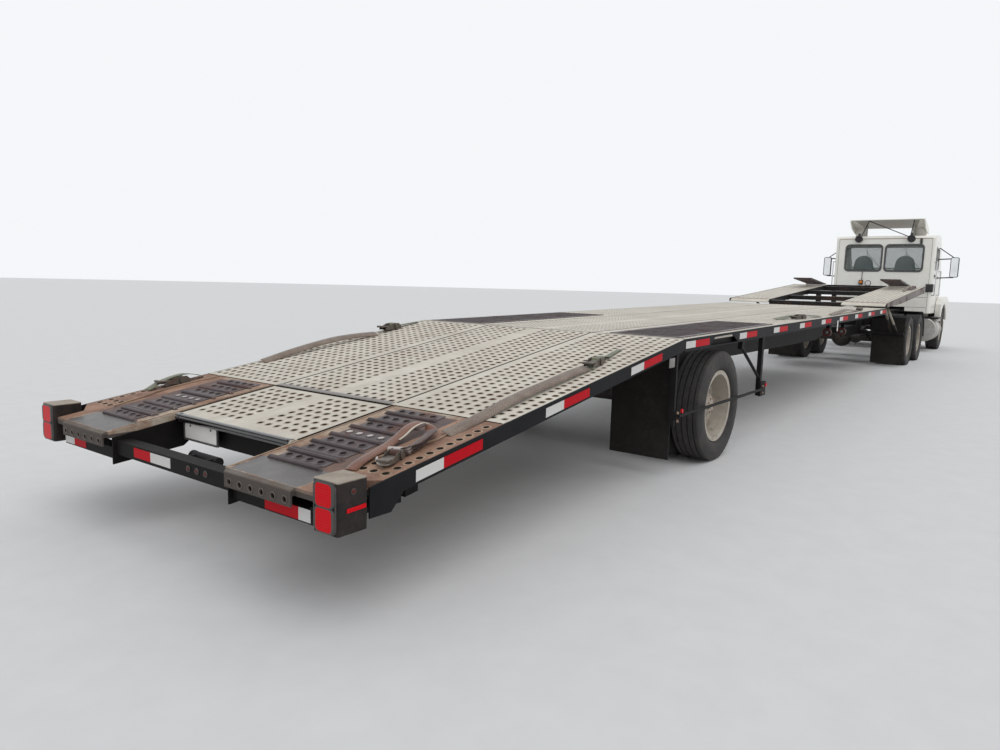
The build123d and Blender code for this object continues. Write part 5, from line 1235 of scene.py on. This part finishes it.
brick(panel_mesh, at(18.996, 0.560, 2.782), at(19.004, 0.7965, 3.000), 0.001)
slab(panel_mesh, [at(18.41, 0.7965, 3.135), at(18.41, 0.700, 3.135), at(19.00, 0.560, 2.990),
                  at(19.00, 0.7965, 2.990)], (0.0, 0.0, -0.006))
other_side(panel_mesh)
done(panel_mesh, "deflector_corner_panels", "tractor", [cab_paint])
lamp_face = bmesh.new()
for y in (-0.575, 0.575):
    washer(lamp_face, at(18.2748, y, 2.69), BACKWARD, 0.0845, 0.071, 0.009, 1)
    bar(lamp_face, at(18.2748, y, 2.69), at(18.270, y, 2.69), 0.072, sides=32, tip=0.066)
done(lamp_face, "work_lamp_faces", "tractor", [lamp_glass, black_plastic])

# Windscreen and door rubbers, handles, wipers, roof markers and grab rails
slope_up = Vector((-0.43, 0.0, 0.70)).normalized()
slope_out = Vector((0.70, 0.0, 0.43)).normalized()
screen_plane = ((0.0, 1.0, 0.0), slope_up, slope_out)
screen_mid = at(19.545, 0.0, 2.290)
screen_mesh = bmesh.new()
ring_plate(screen_mesh, screen_plane, screen_mid + 0.0002 * slope_out, (1.995, 0.675), (1.925, 0.605),
           0.090, 0.012, 0, 8)
for y in (-0.62, 0.28):
    foot = screen_mid - 0.335 * slope_up + 0.016 * slope_out + Vector((0.0, y, 0.0))
    tip = foot + 0.47 * slope_up + Vector((0.0, 0.30, 0.0))
    bar(screen_mesh, foot, tip, 0.006, sides=10)
    bar(screen_mesh, foot - 0.012 * slope_out, foot + 0.010 * slope_out, 0.018, sides=16)
    bar(screen_mesh, tip - 0.28 * slope_up - 0.004 * slope_out, tip + 0.24 * slope_up - 0.004 * slope_out,
        0.007, sides=8)
done(screen_mesh, "windscreen_rubber_wipers", "tractor", [gloss_black])
for side, side_name in ((1, "left"), (-1, "right")):
    door_mesh = bmesh.new()
    y = side * (cab_half + 0.0002)
    rim_strips(door_mesh, [at(18.552, y, 1.942), at(19.128, y, 1.942), at(19.128, y, 2.478),
                           at(18.552, y, 2.519)], 0.030, (0.0, side * 0.007, 0.0))
    brick(door_mesh, at(18.525, min(y, y + side * 0.014), 1.790),
          at(18.690, max(y, y + side * 0.014), 1.850), 0.006)
    bar(door_mesh, at(18.550, y + side * 0.030, 1.822), at(18.665, y + side * 0.030, 1.822), 0.009,
        sides=12, finish=1)
    for d in (18.550, 18.665):
        bar(door_mesh, at(d, y, 1.822), at(d, y + side * 0.034, 1.822), 0.008, sides=12, finish=1)
    done(door_mesh, f"door_{side_name}_trim", f"door_{side_name}", [gloss_black, bright_metal])
    glass_mesh = bmesh.new()
    mirror_mid = at(19.0748, side * 1.44, 2.040)
    ring_plate(glass_mesh, REAR_FACE, mirror_mid, (0.178, 0.478), (0.150, 0.450), 0.039, 0.009, 1)
    pane(glass_mesh, REAR_FACE, mirror_mid, (0.154, 0.454), 0.028, 0.004)
    bar(glass_mesh, at(19.085, side * 1.106, 2.500), at(19.090, side * 1.415, 2.272), 0.011, sides=12,
        finish=1)
    done(glass_mesh, f"mirror_{side_name}_face", f"door_{side_name}", [mirror_glass, black_plastic])
grab_mesh = bmesh.new()
for d, z0, z1 in ((18.420, 1.35, 2.15), (19.290, 1.35, 1.95)):
    bar(grab_mesh, at(d, 1.148, z0), at(d, 1.148, z1), 0.014, sides=14)
    for z in (z0 + 0.01, z1 - 0.01):
        bar(grab_mesh, at(d, 1.0995, z), at(d, 1.152, z), 0.011, sides=12)
        bar(grab_mesh, at(d, 1.0998, z), at(d, 1.106, z), 0.026, sides=16)
other_side(grab_mesh)
done(grab_mesh, "grab_rails", "tractor", [bright_metal])
top_mesh = bmesh.new()
for y in (-0.72, -0.20, 0.0, 0.20, 0.72):
    brick(top_mesh, at(19.100, y - 0.055, 2.745), at(19.190, y + 0.055, 2.777), 0.008, 1)
    brick(top_mesh, at(19.107, y - 0.045, 2.772), at(19.183, y + 0.045, 2.802), 0.014, 0)
done(top_mesh, "roof_markers", "tractor", [amber_lens, black_plastic])

# Seats with rounded cushions and high backs
seat_mesh = bmesh.new()
for side in (-1, 1):
    y = side * 0.46
    brick(seat_mesh, at(18.60, y - 0.248, 1.405), at(19.078, y + 0.248, 1.525), 0.045, 0, 4)
    outline = [at(18.450, y - 0.245, 1.43), at(18.450, y - 0.235, 1.95)]
    outline += [at(18.450, y - 0.205 * math.cos(math.pi * step / 14),
                   2.10 + 0.195 * math.sin(math.pi * step / 14)) for step in range(15)]
    outline += [at(18.450, y + 0.235, 1.95), at(18.450, y + 0.245, 1.43)]
    slab(seat_mesh, outline, (0.130, 0.0, 0.0), 0, 0.025)
    brick(seat_mesh, at(18.610, y - 0.178, 1.122), at(18.970, y + 0.178, 1.41), 0.020, 1)
seat_piece = done(seat_mesh, "seat_covers", "tractor", [seat_cloth, black_plastic])
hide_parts("seats")

# Chassis between the drive wheels and the cab: battery box, air tanks and the propeller shaft
box_mesh = bmesh.new()
brick(box_mesh, at(17.05, 0.470, 0.470), at(17.75, 0.960, 0.800), 0.012)
brick(box_mesh, at(17.03, 0.460, 0.800), at(17.77, 0.972, 0.835), 0.010)
for d in (17.20, 17.60):
    brick(box_mesh, at(d - 0.02, 0.972, 0.480), at(d + 0.02, 0.978, 0.815), 0.002, 1)
    brick(box_mesh, at(d - 0.03, 0.4305, 0.750), at(d + 0.03, 0.475, 0.880), 0.003)
for y, z in ((-0.600, 0.640), (-0.860, 0.640)):
    bar(box_mesh, at(16.86, y, z), at(17.84, y, z), 0.120, sides=40)
    bar(box_mesh, at(16.82, y, z), at(16.86, y, z), 0.085, sides=40, tip=0.120)
    bar(box_mesh, at(17.84, y, z), at(17.88, y, z), 0.120, sides=40, tip=0.085)
    for d in (17.05, 17.65):
        bar(box_mesh, at(d - 0.02, y, z), at(d + 0.02, y, z), 0.1235, sides=40, finish=1)
for d in (17.05, 17.65):
    brick(box_mesh, at(d - 0.03, -0.900, 0.755), at(d + 0.03, -0.4305, 0.790), 0.004)
done(box_mesh, "chassis_boxes", "tractor", [frame_paint, galvanised])
shaft_mesh = bmesh.new()
bar(shaft_mesh, at(19.05, 0.0, 0.850), at(17.60, 0.0, 0.800), 0.052, sides=24)
bar(shaft_mesh, at(17.60, 0.0, 0.800), at(16.15, 0.0, 0.560), 0.052, sides=24)
bar(shaft_mesh, at(17.66, 0.0, 0.803), at(17.54, 0.0, 0.797), 0.085, sides=24)
done(shaft_mesh, "propeller_shaft", "tractor", [axle_paint])
brake_mesh = bmesh.new()
for axle in (rear_drive, front_drive):
    bar(brake_mesh, at(axle - 0.16, 0.470, 0.560), at(axle - 0.34, 0.470, 0.600), 0.078, sides=28)
    bar(brake_mesh, at(axle - 0.34, 0.470, 0.600), at(axle - 0.38, 0.470, 0.609), 0.078, sides=28, tip=0.05)
    bar(brake_mesh, at(axle - 0.245, 0.470, 0.579), at(axle - 0.265, 0.470, 0.583), 0.086, sides=28)
    bar(brake_mesh, at(axle - 0.02, 0.470, 0.520), at(axle - 0.18, 0.470, 0.565), 0.018, sides=12)
other_side(brake_mesh)
done(brake_mesh, "brake_chambers", "tractor", [axle_paint])

# Hood, grille, headlamps and bumper
hood_rear = 19.792
hood_front = 20.92
front = rear + hood_front


def hood_half(d):
    """Half the width of the tapering hood."""
    return 0.800 - 0.300 * (d - hood_rear) / (hood_front - hood_rear)


hood_mesh = bmesh.new()
for side in (-1, 1):
    lamp_mid = (front + 0.0182, side * 0.830, 0.880)
    ring_plate(hood_mesh, FRONT_FACE, lamp_mid, (0.298, 0.158), (0.262, 0.122), 0.020, 0.010, 1)
    for y in (-0.068, 0.068):
        washer(hood_mesh, (front + 0.0182, side * 0.830 + y, 0.880), FORWARD, 0.056, 0.049, 0.006, 1)
done(hood_mesh, "headlamp_bezels", "hood", [clear_lens, bright_metal])
vent_mesh = bmesh.new()
for side in (-1, 1):
    for step in range(6):
        d = 20.05 + step * 0.045
        y0 = side * (hood_half(d) + 0.001)
        y1 = side * (hood_half(d) - 0.0064)
        slab(vent_mesh, [at(d, y0, 1.36), at(d + 0.028, y1, 1.36), at(d + 0.028, y1, 1.50), at(d, y0, 1.50)],
             (0.0, side * 0.004, 0.0))
    latch = hood_half(19.86)
    brick(vent_mesh, at(19.84, min(side * latch, side * (latch + 0.02)), 1.22),
          at(19.885, max(side * latch, side * (latch + 0.02)), 1.34), 0.005)
ring_plate(vent_mesh, FRONT_FACE, (front + 0.0002, 0.0, 1.120), (0.850, 0.610), (0.800, 0.560), 0.030,
           0.014, 1)
done(vent_mesh, "hood_vents", "hood", [black_plastic, bright_metal])
nose_mesh = bmesh.new()
brick(nose_mesh, at(20.982, -0.165, 0.278), at(20.984, 0.165, 0.382), 0.0006)
ring_plate(nose_mesh, FRONT_FACE, at(20.9838, 0.0, 0.330), (0.346, 0.118), (0.322, 0.096), 0.012, 0.004, 1, 2)
for y in (-0.12, 0.12):
    brick(nose_mesh, at(20.974, y - 0.015, 0.290), at(20.982, y + 0.015, 0.402), 0.002, 1)
done(nose_mesh, "front_blank_plate", "tractor", [plate_white, black_plastic])

# Camera at the photograph's viewpoint
camera_azimuth = math.radians(36.614)
camera_pitch = math.radians(7.331)
camera_roll = math.radians(1.520)
camera_place = at(0.01 - 1.807, -3.389, 1.438)
camera_focal_pixels = 733.63
photo_width_pixels = 1000.0


def add_camera():
    ahead = Vector((math.cos(camera_pitch) * math.cos(camera_azimuth),
                    math.cos(camera_pitch) * math.sin(camera_azimuth), -math.sin(camera_pitch)))
    right = Vector((math.sin(camera_azimuth), -math.cos(camera_azimuth), 0.0))
    up = right.cross(ahead)
    right_rolled = math.cos(camera_roll) * right + math.sin(camera_roll) * up
    up_rolled = -math.sin(camera_roll) * right + math.cos(camera_roll) * up
    data = bpy.data.cameras.new("photo_camera")
    data.sensor_width = 36.0
    data.lens = camera_focal_pixels / photo_width_pixels * data.sensor_width
    data.clip_end = 500.0
    camera = bpy.data.objects.new("photo_camera", data)
    camera.matrix_world = Matrix.Translation(camera_place) @ Matrix((right_rolled, up_rolled,
                                                                     -ahead)).transposed().to_4x4()
    bpy.context.scene.collection.objects.link(camera)
    bpy.context.scene.camera = camera


def add_floor():
    """A wide pale floor, which is a stage piece and no part of the vehicle."""
    mesh = bmesh.new()
    bmesh.ops.create_circle(mesh, cap_ends=True, radius=120.0, segments=64)
    data = bpy.data.meshes.new("floor")
    mesh.to_mesh(data)
    mesh.free()
    data.materials.append(dull_finish("floor_grey", (0.60, 0.60, 0.60), (0.63, 0.63, 0.63), 0.9, 2.0))
    floor = bpy.data.objects.new("floor", data)
    bpy.context.scene.collection.objects.link(floor)


def add_light():
    """An even pale sky that shows white, and one wide soft lamp overhead."""
    world = bpy.data.worlds.new("sky")
    world.use_nodes = True
    bpy.context.scene.world = world
    tree = world.node_tree
    background = tree.nodes["Background"]
    path = tree.nodes.new("ShaderNodeLightPath")
    seen = calc(tree, "MAXIMUM", path.outputs["Is Camera Ray"], path.outputs["Is Glossy Ray"])
    shown = calc(tree, "MAXIMUM", seen, path.outputs["Is Transmission Ray"])
    background.inputs["Color"].default_value = (0.96, 0.98, 1.0, 1.0)
    tree.links.new(ramp(tree, shown, 0.0, 1.0, 0.75, 0.95), background.inputs["Strength"])
    data = bpy.data.lights.new("overhead", "SUN")
    data.energy = 1.1
    data.angle = math.radians(50.0)
    lamp = bpy.data.objects.new("overhead", data)
    lamp.rotation_euler = (math.radians(28.0), math.radians(-18.0), 0.0)
    bpy.context.scene.collection.objects.link(lamp)


add_camera()
add_floor()
add_light()
bpy.context.scene.view_settings.view_transform = "Standard"
